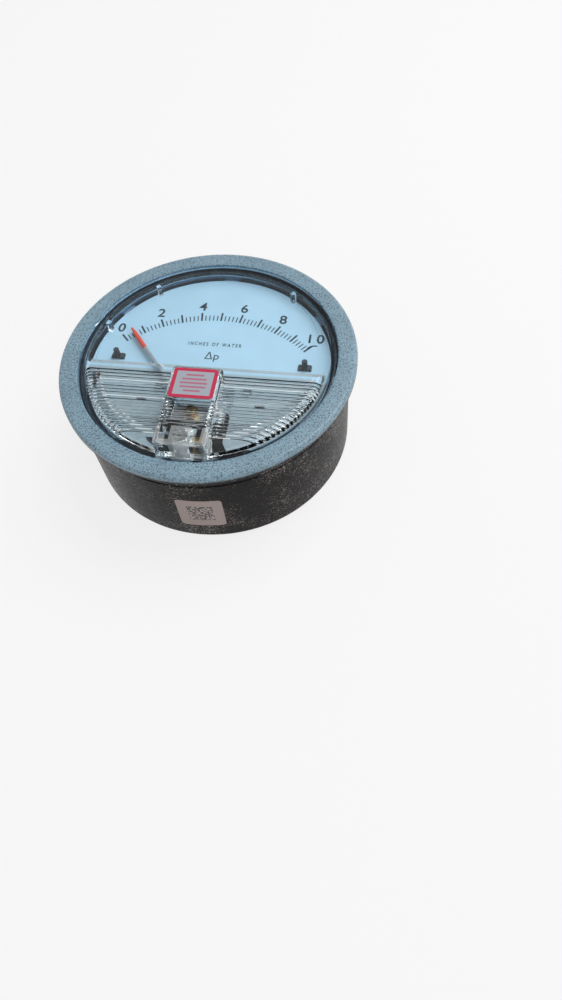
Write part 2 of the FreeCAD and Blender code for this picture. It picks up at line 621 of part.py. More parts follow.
snap_out_r = SEAT_R + RING_GROOVE_D - SLIP_GAP
retaining_ring = ring(snap_out_r, snap_out_r - RING_W, SEAL_TOP_Z, SEAL_TOP_Z + RING_T)
gap_x, gap_y = polar(BODY_R, RING_GAP_DEG / 2)
snap_gap = plate([(0, 0), (gap_x, -gap_y), (gap_x, gap_y)], SEAL_TOP_Z, SEAL_TOP_Z + RING_T)
save("retaining_ring", retaining_ring.cut(snap_gap))

front_low_z = membrane_z + MEMBRANE_T / 2
rear_top_z = membrane_z - MEMBRANE_T / 2
save("diaphragm_front_plate", ring(BACKING_R, LINK_R + SLIP_GAP, front_low_z, front_low_z + BACKING_T))
save("diaphragm_rear_plate", ring(BACKING_R, LINK_R + SLIP_GAP, rear_top_z - BACKING_T, rear_top_z))

collar_top_z = SPRING_Z - LINK_PLAY
nut_low_z = SPRING_Z + SPRING_T + LINK_PLAY
nut_top_z = nut_low_z + LINK_NUT_H
linkage_post = cylinder(LINK_R, rear_top_z - BACKING_T - LINK_TAIL, nut_top_z + LINK_TAIL / 2)
linkage_post = linkage_post.fuse([
    cylinder(LINK_COLLAR_R, rear_top_z - BACKING_T - LINK_TAIL, rear_top_z - BACKING_T),
    cylinder(LINK_COLLAR_R, front_low_z + BACKING_T, front_low_z + BACKING_T + LINK_COLLAR_H),
    cylinder(LINK_COLLAR_R, collar_top_z - LINK_COLLAR_H, collar_top_z)]).removeSplitter()
save("linkage_post", linkage_post)
save("linkage_nut", ring(LINK_COLLAR_R, LINK_R + SLIP_GAP / 2, nut_low_z, nut_top_z))

# Zero adjusting foot with the range spring clamped to it
foot_end_y = ZERO_Y - DRIVE_HEAD_R
foot_cross_in_y = PIVOT_Y - WISH_W / 2 - 5 * FREE_GAP
foot_cross_out_y = ZERO_Y + 2 * DRIVE_HEAD_R
zero_foot = plate([
    (FOOT_LEFT_X, FOOT_LOW_Y), (FOOT_LEFT_X, FOOT_TOP_Y), (-FOOT_EAR_W, FOOT_EAR_Y),
    (FOOT_EAR_W, FOOT_EAR_Y), (FOOT_ARM_OUT_X, FOOT_TOP_Y), (FOOT_ARM_OUT_X, FOOT_BEND_Y),
    (FOOT_TURN_X, foot_cross_out_y), (FOOT_TAB_X, foot_cross_out_y), (FOOT_TAB_X, foot_end_y),
    (-FOOT_TAB_X, foot_end_y), (-FOOT_TAB_X, foot_cross_in_y), (FOOT_TURN_X, foot_cross_in_y),
    (FOOT_ARM_IN_X, FOOT_BEND_Y), (FOOT_ARM_IN_X, FOOT_LOW_Y)],
    FOOT_Z, FOOT_TOP_Z)
foot_holes = [screw_hole(side * FOOT_SCREW_X, FOOT_SCREW_Y, FOOT_Z, FOOT_TOP_Z) for side in (-1, 1)]
save("zero_foot", zero_foot.cut(foot_holes))
save("foot_spacers", both_sides(
    lambda x: ring(SPACER_R, SCREW_R + SLIP_GAP, SEAL_TOP_Z, FOOT_Z, x, FOOT_SCREW_Y), FOOT_SCREW_X))
save("foot_washers", both_sides(
    lambda x: ring(WASHER_R, SCREW_R + SLIP_GAP, FOOT_TOP_Z, FOOT_TOP_Z + WASHER_T, x, FOOT_SCREW_Y),
    FOOT_SCREW_X))
save("foot_screws", both_sides(
    lambda x: screw(x, FOOT_SCREW_Y, FOOT_TOP_Z + WASHER_T, seal_low_z), FOOT_SCREW_X))

clamp_back_y = CLAMP_FRONT_Y + CLAMP_L
clamp_mid_y = CLAMP_FRONT_Y + CLAMP_L / 2
spring_top_z = SPRING_Z + SPRING_T
clamp_top_z = spring_top_z + CLAMP_PLATE_T
clamp_base = block(-CLAMP_W / 2, CLAMP_W / 2, CLAMP_FRONT_Y, clamp_back_y, FOOT_TOP_Z, SPRING_Z)
clamp_plate = block(-CLAMP_W / 2, CLAMP_W / 2, CLAMP_FRONT_Y, clamp_back_y, spring_top_z, clamp_top_z)
clamp_screw_low_z = SPRING_Z - SCREW_TAPPED
for side in (-1, 1):
    clamp_bore = screw_hole(side * CLAMP_SCREW_X, clamp_mid_y, clamp_screw_low_z, clamp_top_z)
    clamp_base = clamp_base.cut(clamp_bore)
    clamp_plate = clamp_plate.cut(clamp_bore)
save("spring_clamp_base", clamp_base)
save("spring_clamp_plate", clamp_plate)
save("spring_clamp_screws", both_sides(
    lambda x: screw(x, clamp_mid_y, clamp_top_z, clamp_screw_low_z), CLAMP_SCREW_X))

rivet_y = SPRING_END_Y + MAGNET_YOKE_L / 2
range_spring = block(-SPRING_W / 2, SPRING_W / 2, SPRING_END_Y, clamp_back_y, SPRING_Z, spring_top_z)
range_spring = range_spring.cut([
    cylinder(LINK_HOLE_R, SPRING_Z, spring_top_z),
    cylinder(RIVET_R + SLIP_GAP, SPRING_Z, spring_top_z, 0, rivet_y)])
save("range_spring", range_spring)

# Horseshoe magnet on the free end of the spring, straddling the helix
magnet_top_z = spring_top_z + MAGNET_H
yoke_in_y = SPRING_END_Y + MAGNET_YOKE_L
pole_end_y = PIVOT_Y - POLE_PAST_PIVOT
magnet = block(-MAGNET_HALF_W, MAGNET_HALF_W, pole_end_y, yoke_in_y, spring_top_z, magnet_top_z)
magnet = magnet.cut([
    block(-POLE_IN_X, POLE_IN_X, pole_end_y, SPRING_END_Y, spring_top_z, magnet_top_z),
    cylinder(RIVET_R + SLIP_GAP, spring_top_z, magnet_top_z, 0, rivet_y)])
save("magnet", magnet)
rivet = cylinder(RIVET_R, SPRING_Z - RIVET_HEAD_H, magnet_top_z + RIVET_HEAD_H, 0, rivet_y)
rivet = rivet.fuse([
    cylinder(RIVET_HEAD_R, SPRING_Z - RIVET_HEAD_H, SPRING_Z, 0, rivet_y),
    cylinder(RIVET_HEAD_R, magnet_top_z, magnet_top_z + RIVET_HEAD_H, 0, rivet_y)]).removeSplitter()
save("magnet_rivet", rivet)

# Wishbone with the jewel bearings, and the helix that turns between them
wish_base_top_z = SEAL_TOP_Z + WISH_BASE_T
wish_y0 = PIVOT_Y - WISH_W / 2
wish_y1 = PIVOT_Y + WISH_W / 2
wish_leg_out_x = WISH_LEG_IN_X + WISH_LEG_T
bridge_top_z = BRIDGE_Z + BRIDGE_T
wishbone = block(-wish_leg_out_x, wish_leg_out_x, wish_y0, wish_y1, SEAL_TOP_Z, BRIDGE_Z)
wishbone = wishbone.cut(block(-WISH_LEG_IN_X, WISH_LEG_IN_X, wish_y0, wish_y1, wish_base_top_z, BRIDGE_Z))
ears = block(-WISH_EAR_X, WISH_EAR_X, wish_y0, wish_y1, SEAL_TOP_Z, SEAL_TOP_Z + WISH_BASE_T / 2)
wishbone = wishbone.fuse(ears)
ear_top_z = SEAL_TOP_Z + WISH_BASE_T / 2
wish_holes = [cylinder(JEWEL_R + SLIP_GAP, wish_base_top_z - JEWEL_H, wish_base_top_z, 0, PIVOT_Y)]
for side in (-1, 1):
    wish_holes.append(screw_hole(side * WISH_SCREW_X, PIVOT_Y, SEAL_TOP_Z, ear_top_z))
wishbone = wishbone.cut(wish_holes).removeSplitter()
save("wishbone", wishbone)
bridge = block(-wish_leg_out_x, wish_leg_out_x, wish_y0, wish_y1, BRIDGE_Z, bridge_top_z)
save("wishbone_bridge", bridge.cut(cylinder(JEWEL_SCREW_R + SLIP_GAP, BRIDGE_Z, bridge_top_z, 0, PIVOT_Y)))
save("wishbone_screws", both_sides(
    lambda x: screw(x, PIVOT_Y, ear_top_z, seal_low_z, WISH_SCREW_HEAD_R), WISH_SCREW_X))

jewel_cup_z = wish_base_top_z - JEWEL_CUP_D
rear_jewel = cylinder(JEWEL_R, wish_base_top_z - JEWEL_H, wish_base_top_z, 0, PIVOT_Y)
save("rear_jewel", rear_jewel.cut(cylinder(JEWEL_CUP_R, jewel_cup_z, wish_base_top_z, 0, PIVOT_Y)))
jewel_low_z = BRIDGE_Z - JEWEL_CUP_D
jewel_screw = cylinder(JEWEL_SCREW_R, jewel_low_z, JEWEL_SCREW_TOP_Z, 0, PIVOT_Y)
jewel_screw = jewel_screw.cut([
    cylinder(JEWEL_CUP_R, jewel_low_z, jewel_low_z + JEWEL_CUP_D, 0, PIVOT_Y),
    block(-JEWEL_SCREW_R, JEWEL_SCREW_R, PIVOT_Y - ZERO_SLOT_W / 2, PIVOT_Y + ZERO_SLOT_W / 2,
          JEWEL_SCREW_TOP_Z - ZERO_SLOT_D, JEWEL_SCREW_TOP_Z)])
save("front_jewel_screw", jewel_screw)
hexagon = [polar(JEWEL_NUT_R, 60 * corner) for corner in range(6)]
jewel_nut = plate([(x, y + PIVOT_Y) for x, y in hexagon], bridge_top_z, bridge_top_z + JEWEL_NUT_H)
save("front_jewel_nut", jewel_nut.cut(
    cylinder(JEWEL_SCREW_R + SLIP_GAP, bridge_top_z, bridge_top_z + JEWEL_NUT_H, 0, PIVOT_Y)))

pin_low_z = jewel_cup_z + JEWEL_PLAY
pin_top_z = jewel_low_z + JEWEL_CUP_D - JEWEL_PLAY
shaft_low_z = pin_low_z + PIVOT_PIN_L
shaft_top_z = pin_top_z - PIVOT_PIN_L
helix_shaft = turned([
    (0, pin_low_z), (PIVOT_PIN_R, pin_low_z), (PIVOT_PIN_R, shaft_low_z), (SHAFT_R, shaft_low_z),
    (SHAFT_R, shaft_top_z), (PIVOT_PIN_R, shaft_top_z), (PIVOT_PIN_R, pin_top_z), (0, pin_top_z)],
    0, PIVOT_Y)
save("helix_shaft", helix_shaft)

helix_low_z = SPRING_Z - HELIX_BELOW_SPRING
helix_path = Part.Wire(Part.makeHelix(HELIX_LEAD, HELIX_H, HELIX_R))
ribbon_profile = [
    V(HELIX_CORE_R - SLIP_GAP, 0, -HELIX_T / 2), V(HELIX_R, 0, -HELIX_T / 2),
    V(HELIX_R, 0, HELIX_T / 2), V(HELIX_CORE_R - SLIP_GAP, 0, HELIX_T / 2)]
ribbon = helix_path.makePipeShell([Part.makePolygon(ribbon_profile + ribbon_profile[:1])], True, True)
ribbon.translate(V(0, PIVOT_Y, helix_low_z))
sleeve = ring(
    HELIX_CORE_R, SHAFT_R + SLIP_GAP / 2, helix_low_z - HELIX_T, helix_low_z + HELIX_H + HELIX_T, 0, PIVOT_Y)
helix = sleeve.fuse(ribbon).removeSplitter()
save("helix", helix)

# Pointer: a thin tube with a tapered tip, a hub on the shaft and a counterweight
pointer_tip = SCALE_R - POINTER_SHORT
taper_start = pointer_tip - POINTER_TIP_L
pivot_point = V(0, PIVOT_Y, 0)


def at_rest(shape):
    """Turn a pointer piece made along +Y to its rest reading."""
    shape.rotate(pivot_point, UP, POINTER_REST)
    return shape


def along_pointer(radius, start, end):
    """Round bar along the pointer between two distances from the pivot."""
    return Part.makeCylinder(radius, end - start, V(0, PIVOT_Y + start, POINTER_Z), ALONG_Y)


pointer = along_pointer(POINTER_R, HUB_R, taper_start)
taper = Part.makeCone(
    POINTER_R, POINTER_TIP_R, POINTER_TIP_L, V(0, PIVOT_Y + taper_start, POINTER_Z), ALONG_Y)
pointer = pointer.fuse(taper).removeSplitter()
hub_bore = cylinder(SHAFT_R + SLIP_GAP / 2, POINTER_Z - HUB_H / 2, POINTER_Z + HUB_H / 2, 0, PIVOT_Y)
pointer_hub = cylinder(HUB_R, POINTER_Z - HUB_H / 2, POINTER_Z + HUB_H / 2, 0, PIVOT_Y)
pointer_hub = pointer_hub.fuse(along_pointer(TAIL_R, -TAIL_L, 0)).cut(hub_bore).removeSplitter()
hub_body = cylinder(HUB_R, POINTER_Z - HUB_H / 2, POINTER_Z + HUB_H / 2, 0, PIVOT_Y)
save("pointer", at_rest(pointer.cut(hub_body)))
save("pointer_hub", at_rest(pointer_hub))
weight = along_pointer(WEIGHT_R, -TAIL_L, WEIGHT_L - TAIL_L)
weight = weight.cut(along_pointer(TAIL_R + SLIP_GAP / 2, -TAIL_L, WEIGHT_L - TAIL_L))
save("pointer_weight", at_rest(weight))

# Zero adjustment: a screw in the cover block that turns a brass screw in a bracket
zero_low_z = BLOCK_LOW_Z - ZERO_TIP_L
clip_top_z = BLOCK_LOW_Z - CLIP_UNDER
clip_low_z = clip_top_z - CLIP_T
blade_low_z = zero_low_z - ZERO_BLADE_L
zero_screw = cylinder(ZERO_R, zero_low_z, ZERO_TOP_Z, 0, ZERO_Y)
zero_screw = zero_screw.cut([
    ring(ZERO_R, ZERO_GROOVE_R, ZERO_GROOVE_Z, ZERO_GROOVE_Z + ZERO_GROOVE_H, 0, ZERO_Y),
    ring(ZERO_R, CLIP_IN_R - SLIP_GAP, clip_low_z, clip_top_z, 0, ZERO_Y),
    block(-ZERO_R, ZERO_R, ZERO_Y - ZERO_SLOT_W / 2, ZERO_Y + ZERO_SLOT_W / 2,
          ZERO_TOP_Z - ZERO_SLOT_D, ZERO_TOP_Z)])
zero_screw = zero_screw.fuse(block(
    -ZERO_R / 2, ZERO_R / 2, ZERO_Y - ZERO_BLADE_W / 2, ZERO_Y + ZERO_BLADE_W / 2, blade_low_z, zero_low_z))
save("zero_screw", zero_screw.removeSplitter())
seal_z = ZERO_GROOVE_Z + ZERO_GROOVE_H / 2
save("zero_screw_o_ring", Part.makeTorus(ZERO_SEAL_PCD_R, ZERO_SEAL_R, V(0, ZERO_Y, seal_z), UP))
save("zero_screw_clip", ring(CLIP_R, CLIP_IN_R, clip_low_z, clip_top_z, 0, ZERO_Y))

drive_top_z = zero_low_z - SLIP_GAP
drive_head_z = drive_top_z - DRIVE_HEAD_H
adjust_screw = cylinder(DRIVE_R, FOOT_TOP_Z + DRIVE_PLAY, drive_head_z, 0, ZERO_Y)
adjust_screw = adjust_screw.fuse(cylinder(DRIVE_HEAD_R, drive_head_z, drive_top_z, 0, ZERO_Y))
adjust_screw = adjust_screw.cut(block(
    -DRIVE_HEAD_R, DRIVE_HEAD_R, ZERO_Y - ZERO_SLOT_W / 2, ZERO_Y + ZERO_SLOT_W / 2,
    drive_top_z - DRIVE_SLOT_D, drive_top_z))
save("adjust_screw", adjust_screw.removeSplitter())

bracket_leg_x = BRACKET_HALF_W - BRACKET_LEG_W / 2
zero_bracket = block(
    -BRACKET_HALF_W, BRACKET_HALF_W, BRACKET_OUT_Y, BRACKET_IN_Y, BRACKET_LOW_Z, BRACKET_TOP_Z)
for side in (-1, 1):
    leg_x = side * bracket_leg_x
    leg = block(leg_x - BRACKET_LEG_W / 2, leg_x + BRACKET_LEG_W / 2,
                ZERO_Y - BRACKET_LEG_W / 2, ZERO_Y + BRACKET_LEG_W / 2, FLOOR_Z, BRACKET_LOW_Z)
    zero_bracket = zero_bracket.fuse(leg)
    zero_bracket = zero_bracket.cut(screw_hole(leg_x, ZERO_Y, FLOOR_Z, BRACKET_TOP_Z))
zero_bracket = zero_bracket.cut(cylinder(DRIVE_R + RUN_FIT, BRACKET_LOW_Z, BRACKET_TOP_Z, 0, ZERO_Y))
save("zero_bracket", zero_bracket.removeSplitter())
save("bracket_screws", both_sides(
    lambda x: screw(x, ZERO_Y, BRACKET_TOP_Z, FLOOR_Z - SCREW_TAPPED), bracket_leg_x))
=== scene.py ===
import json
import math

import bmesh
import bpy
from bpy.props import FloatProperty, FloatVectorProperty, IntProperty, PointerProperty, StringProperty
from bpy.types import Operator, Panel, PropertyGroup
from mathutils import Euler, Matrix, Vector

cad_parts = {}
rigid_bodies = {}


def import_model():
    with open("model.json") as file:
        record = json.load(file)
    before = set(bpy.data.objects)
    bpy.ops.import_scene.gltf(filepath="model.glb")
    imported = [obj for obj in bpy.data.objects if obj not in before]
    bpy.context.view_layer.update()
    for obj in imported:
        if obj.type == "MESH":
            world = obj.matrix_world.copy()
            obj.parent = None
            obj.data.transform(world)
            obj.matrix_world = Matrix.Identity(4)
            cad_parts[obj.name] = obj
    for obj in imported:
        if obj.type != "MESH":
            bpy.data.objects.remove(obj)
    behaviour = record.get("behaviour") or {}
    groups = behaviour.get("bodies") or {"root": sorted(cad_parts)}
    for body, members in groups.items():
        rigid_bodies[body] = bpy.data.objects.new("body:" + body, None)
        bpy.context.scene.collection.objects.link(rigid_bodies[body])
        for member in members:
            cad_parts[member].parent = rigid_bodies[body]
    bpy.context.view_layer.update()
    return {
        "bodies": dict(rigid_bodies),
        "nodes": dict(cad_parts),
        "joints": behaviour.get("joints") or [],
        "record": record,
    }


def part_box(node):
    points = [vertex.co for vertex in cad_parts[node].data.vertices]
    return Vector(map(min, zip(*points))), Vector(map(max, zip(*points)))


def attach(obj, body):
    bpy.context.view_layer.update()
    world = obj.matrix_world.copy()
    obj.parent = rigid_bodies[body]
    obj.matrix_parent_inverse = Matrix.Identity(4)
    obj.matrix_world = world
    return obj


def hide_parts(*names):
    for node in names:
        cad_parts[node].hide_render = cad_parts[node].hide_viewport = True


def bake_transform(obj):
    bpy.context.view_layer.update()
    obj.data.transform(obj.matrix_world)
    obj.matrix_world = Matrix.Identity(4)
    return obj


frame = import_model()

bl_info = {
    "name": "Differential Pressure Gauge",
    "version": (1, 0, 0),
    "blender": (4, 5, 0),
    "location": "View3D > Sidebar > Gauge",
    "description": "Finishes, print and stage of a round dial differential pressure gauge",
    "category": "Object",
}

MM = 0.001
WELD = 1e-6                   # vertices nearer than this are one

# Places read from the frame
DIAL_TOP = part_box("scale_plate")[1].z
FLANGE_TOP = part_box("bezel")[1].z
SPINE_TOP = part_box("cover")[1].z
CASE_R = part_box("case")[1].x
JOINTS = {joint["name"]: joint for joint in frame["joints"]}
PIVOT = Vector(JOINTS["pointer_swing"]["pos_m"])
SCREW_Y = sum(corner.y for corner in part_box("scale_screws")) / 2
PORTS = [mount for mount in frame["record"]["mounts"] if mount["kind"] == "threaded_hole"]

INK_RISE = 0.03 * MM          # printed ink stands this far above its ground
FILM = 0.06 * MM              # thickness of the label and the sticker
NUMERAL_WEIGHT = 0.018        # strokes of the numerals are thickened by this share of the text size
NUMERAL_SPACING = 1.35        # their spacing against the plain font's
UNIT_WEIGHT = 0.02            # the same two for the unit
UNIT_SPACING = 1.55
UNIT_NARROW = 0.68            # width of its letters against the plain font's
HOOK_STEPS = 12               # straight pieces along the hooked end of the last mark
GREY_EDGE = -4.0 * MM        # the scale plate turns greyer below this, under the step of the cover
GREY_FADE = 1.5 * MM        # length over which the colour changes
TIP_START = 44.8 * MM         # the pointer is red beyond this distance from its axis
SLOT_HALF = 0.75 * MM         # half the width of a driver slot's shadow
SPECK_SIDE = 0.55 * MM        # side of the squares in the field of the sticker
SPECK_LIMIT = 0.42            # squares with a chance above this are dark
LINE_SQUEEZE = 0.08           # the noise is squeezed by this along X, which draws it out into tool lines
LIT_FACE_EDGE = 1.5 * MM          # the painted lit coat of the flange reaches this far below its top
LIT_FACE_FADE = 1.4 * MM          # length over which it fades out
OPENING_SIDE = 54.0 * MM      # the bezel's opening lies within this radius and its skirt outside
CASE_SHEEN = 0.1              # specular level of the dark coat and in the opening, duller than the flange
FACE_SHEEN = 0.5              # specular level of the flange
CASE_SKIN = 0.35 * MM         # the case is coated to this depth below its side
BACK_SKIN = 1.0 * MM          # and to this height above its back
RIM_START = 49.7 * MM         # the upright wall of the cover's rim starts at this radius
RIM_FADE = 0.4 * MM           # length over which its painted shade comes in
LABEL_SEAT = 0.12 * MM        # depth of the label's seat in the spine
LABEL_BARS = ((3.9, 7.0), (1.9, 9.5), (0.0, 10.5), (-1.9, 10.0), (-3.8, 6.5))   # height, length in mm
STICKER_STRIPS = 12           # upright strips that let the sticker follow the case
SPINE_HALF = 10.05 * MM       # half the width of the spine
BLOCK_FRONT = -49.5 * MM      # front face of the spine's end block
BLOCK_BACK = -41.6 * MM       # inner face of the end block
BLOCK_EDGE = 1.6 * MM         # frosted edge of the end block
BLOCK_CLEAR = 0.72            # share of the light that its frosted walls let through
CELL_MIDDLE = 5.8 * MM        # clear cells of the end block, from the middle of the spine
CELL_HALF = 1.9 * MM          # half the width of a clear cell
PLATE_PLACE = (3.6 * MM, -38.4 * MM)   # brass plate on the zero bracket
PLATE_SIZE = (6.6 * MM, 7.4 * MM)
PLATE_CORNER = 1.0 * MM
PLATE_THICK = 1.6 * MM
PLATE_EDGE = 0.2 * MM         # bevel of its edges
SHARP_TURN = 1.0              # angle in radians from which an edge of it is sharp
RIVET_PLACE = (4.6 * MM, -36.8 * MM)   # its rivet
RIVET_FOOT_R = 1.3 * MM
RIVET_TOP_R = 0.9 * MM
RIVET_RISE = 0.7 * MM
LEAF_BEND = 10.0 * MM         # the cross cuts of the range spring span this length in front of its clamp
LEAF_CUTS = 8                 # cross cuts across it
SECTORS = 12                  # the diaphragm is cut into these
FLOOR_PROFILE = ((0.0, 0.0), (2.0, 0.0), (2.4, 0.1), (2.7, 0.4), (2.8, 0.8), (2.8, 1.6))   # radius, height
FLOOR_GAP = 0.05 * MM         # the floor lies this far below the back of the case
NOISE_LOW = 0.3               # most values of a noise texture lie between these two
NOISE_HIGH = 0.7


def linear(code):
    """Linear RGB of an sRGB hex colour."""
    parts = [int(code[i:i + 2], 16) / 255 for i in (1, 3, 5)]
    return tuple(c / 12.92 if c <= 0.04045 else ((c + 0.055) / 1.055) ** 2.4 for c in parts)


def colour_property(name, code, description):
    """Colour that a user can change, given as an sRGB hex value."""
    return FloatVectorProperty(
        name=name, description=description, subtype="COLOR", size=3, min=0, max=1, default=linear(code))


def length_property(name, millimetres, description):
    """Length that a user can change, given in millimetres."""
    return FloatProperty(name=name, description=description, unit="LENGTH", default=millimetres * MM)


def angle_property(name, degrees, description):
    """Angle that a user can change, given in degrees."""
    return FloatProperty(name=name, description=description, subtype="ANGLE", default=math.radians(degrees))


class GaugeColours(PropertyGroup):
    """Colours of the finishes."""
    # Painted light: the pale coat is a lit copy of the dark coat, laid on the face and in the opening of the
    # bezel
    flange: colour_property("Flange", "#93B1C3", "Pale hammertone coat on the face of the bezel")
    flange_speck: colour_property("Flange speck", "#566B77", "Dark speck in the pale coat")
    # Partly painted reflection: the coat's own dark grey is warmed to brown, standing in for the reflection
    # of brown surroundings
    case: colour_property("Case", "#161110", "Dark hammertone coat of the case and the bezel skirt")
    case_speck: colour_property("Case speck", "#0D0A0A", "Dark speck in the case coat")
    # Painted glints: bright specks in the case coat stand in for light glinting off its flakes
    case_flake: colour_property("Case flake", "#A39C98", "Bright flake in the case coat")
    # Partly painted light: the enamel's own pale colour carries a blue tint that stands in for cool skylight
    dial: colour_property("Dial", "#AECEE1", "Enamel of the scale plate")
    bare_casting: colour_property("Bare casting", "#A4B9CB", "Bare metal inside the case")
    acrylic: colour_property("Acrylic", "#F6FBFD", "Clear cover")
    # Painted shade: a deeper blue-grey on the rim's wall stands in for the shaded band between bezel and dial
    acrylic_rim: colour_property("Acrylic rim", "#A3B4BF", "Upright wall of the cover's rim, seen edgeways")
    # The scale plate is greyer under the pad and has no other finish there
    dial_back: colour_property("Dial lower part", "#98A5AC", "Bare sheet of the scale plate under the pad")
    ink: colour_property("Ink", "#22303C", "Print on the scale plate")
    red: colour_property("Red", "#E0452F", "Paint on the pointer tip")
    label_frame: colour_property("Label frame", "#CF3457", "Frame of the label on the spine")
    label_bar: colour_property("Label bar", "#C0758C", "Plain bars on the label")
    label_ground: colour_property("Label ground", "#B0B6C1", "Ground of the label on the spine")
    sticker: colour_property("Sticker", "#B5A5A1", "Ground of the sticker on the case")
    sticker_print: colour_property("Sticker print", "#3A3638", "Dark squares in the middle of the sticker")
    floor: colour_property("Floor", "#EDEDEC", "Floor and backdrop")


class GaugeScale(PropertyGroup):
    """Sizes of the printed scale."""
    radius: length_property("Radius", 60.0, "Outer ends of the long marks from the pointer axis")
    inner_radius: length_property("Inner radius", 55.3, "Inner ends of all marks")
    short_radius: length_property("Short radius", 58.3, "Outer ends of the short marks")
    long_width: length_property("Long mark width", 0.8, "Width of a long mark")
    short_width: length_property("Short mark width", 0.45, "Width of a short mark")
    half_sweep: angle_property("Half sweep", 42.8, "Angle from twelve o'clock to the end of the scale")
    units: IntProperty(name="Units", description="Value at the end of the scale", default=10, min=1)
    parts: IntProperty(name="Parts", description="Short divisions in each unit", default=5, min=1)
    hook_x: length_property("Hook place X", 41.91, "Middle of the hooked end of the last mark")
    hook_y: length_property("Hook place Y", 10.69, "Middle of the hooked end of the last mark")
    hook_radius: length_property("Hook radius", 3.42, "Radius of the hooked end")
    hook_width: length_property("Hook width", 0.65, "Width of the hooked end")
    hook_start: angle_property("Hook start", 156, "Angle at which the hooked end leaves the last mark")
    hook_sweep: angle_property("Hook sweep", 82, "Angle through which the end is hooked")
    numeral_step: IntProperty(
        name="Numeral step", description="Units from numeral to numeral", default=2, min=1)
    numeral_radius: length_property("Numeral radius", 63.9, "Centres of the numerals from the pointer axis")
    numeral_height: length_property("Numeral height", 4.9, "Height of the numerals")
    numeral_pull: FloatProperty(
        name="Numeral pull", description="Numeral angle as a share of its mark's angle", default=0.963)
    unit_text: StringProperty(name="Unit", description="Unit of the scale", default="INCHES OF WATER")
    unit_height: length_property("Unit height", 1.98, "Height of the unit")
    unit_y: length_property("Unit place", 11.5, "Unit above the dial centre")
    symbol_text: StringProperty(name="Symbol", description="Symbol of the measured quantity", default="Δp")
    symbol_height: length_property("Symbol height", 5.2, "Height of the symbol")
    symbol_y: length_property("Symbol place", 4.6, "Symbol above the dial centre")


class GaugeLabels(PropertyGroup):
    """Sizes of the label on the spine and the sticker on the case."""
    label_width: length_property("Label width", 17.4, "Across the spine")
    label_height: length_property("Label height", 14.5, "Along the spine")
    label_y: length_property("Label place", -21.2, "Middle of the label from the dial centre")
    label_corner: length_property("Label corner", 1.6, "Corner radius of the label")
    label_frame: length_property("Label frame", 1.5, "Width of the coloured frame")
    label_bar: length_property("Label bar", 0.8, "Height of the plain bars on the label")
    sticker_width: length_property("Sticker width", 18.5, "Round the case")
    sticker_height: length_property("Sticker height", 18.8, "Along the axis")
    sticker_z: length_property("Sticker place", 19.0, "Middle of the sticker above the back")
    sticker_corner: length_property("Sticker corner", 1.6, "Corner radius of the sticker")
    sticker_field: length_property("Sticker field", 10.4, "Side of the printed field in the middle")
    sticker_turn: angle_property("Sticker turn", 4.3, "Middle of the sticker from six towards three o'clock")


class GaugeStage(PropertyGroup):
    """Camera, lamps and floor."""
    camera_place: FloatVectorProperty(
        name="Camera place", description="Camera in the gauge's frame", subtype="TRANSLATION", unit="LENGTH",
        default=(0.06924, -0.1861, 0.25285))
    camera_turn: FloatVectorProperty(
        name="Camera turn", description="Camera rotation", subtype="EULER",
        default=tuple(math.radians(angle) for angle in (31.238, 3.5115, 8.1046)))
    lens: FloatProperty(
        name="Lens", description="Focal length in millimetres for a 36 mm frame", default=24.84)
    lamp_power: FloatProperty(
        name="Lamp power", description="Power of the overhead lamp", unit="POWER", default=6.5)
    lamp_size: length_property("Lamp size", 800.0, "Side of the overhead lamp")
    fill_power: FloatProperty(
        name="Fill power", description="Power of the front lamp", unit="POWER", default=1.5)
    fill_size: length_property("Fill size", 600.0, "Side of the front lamp")
    sky: FloatProperty(name="Sky", description="Strength of the even light from all round", default=0.35)
    floor_glow: FloatProperty(
        name="Floor glow", description="Share of plain white that the floor shows", subtype="FACTOR",
        min=0, max=1, default=0.8)


def add_node(tree, kind, inputs=None, **settings):
    """Node with its settings, constants and links. A node among the inputs stands for its first output."""
    node = tree.nodes.new(kind)
    for key, value in settings.items():
        setattr(node, key, value)
    for key, value in (inputs or {}).items():
        if isinstance(value, bpy.types.Node):
            value = value.outputs[0]
        if isinstance(value, bpy.types.NodeSocket):
            tree.links.new(value, node.inputs[key])
        else:
            node.inputs[key].default_value = value
    return node


def new_material(name):
    """Empty material with nodes, in place of an older one of that name."""
    old = bpy.data.materials.get(name)
    if old:
        bpy.data.materials.remove(old)
    material = bpy.data.materials.new(name)
    material.use_nodes = True
    material.node_tree.nodes.clear()
    return material, material.node_tree


def new_finish(name):
    """Empty material of a piece. Returns it, its tree and the place on the piece."""
    material, tree = new_material(name)
    return material, tree, add_node(tree, "ShaderNodeTexCoord").outputs["Object"]


def new_surface(tree, inputs):
    """Principled shader with its inputs, linked to the output."""
    shader = add_node(tree, "ShaderNodeBsdfPrincipled", inputs)
    add_node(tree, "ShaderNodeOutputMaterial", {"Surface": shader})
    return shader


def axis_distance(tree, place):
    """Distance of a place from the axis of the gauge."""
    flat = add_node(tree, "ShaderNodeVectorMath", {0: place, 1: (1.0, 1.0, 0.0)}, operation="MULTIPLY")
    reach = add_node(tree, "ShaderNodeVectorMath", {0: flat}, operation="LENGTH")
    return reach.outputs["Value"]


def rgba(colour):
    """Colour with full alpha for a shader socket."""
    return (*colour, 1.0)


def per_mm(size):
    """Texture scale at which one feature measures this many millimetres."""
    return 1 / (size * MM)


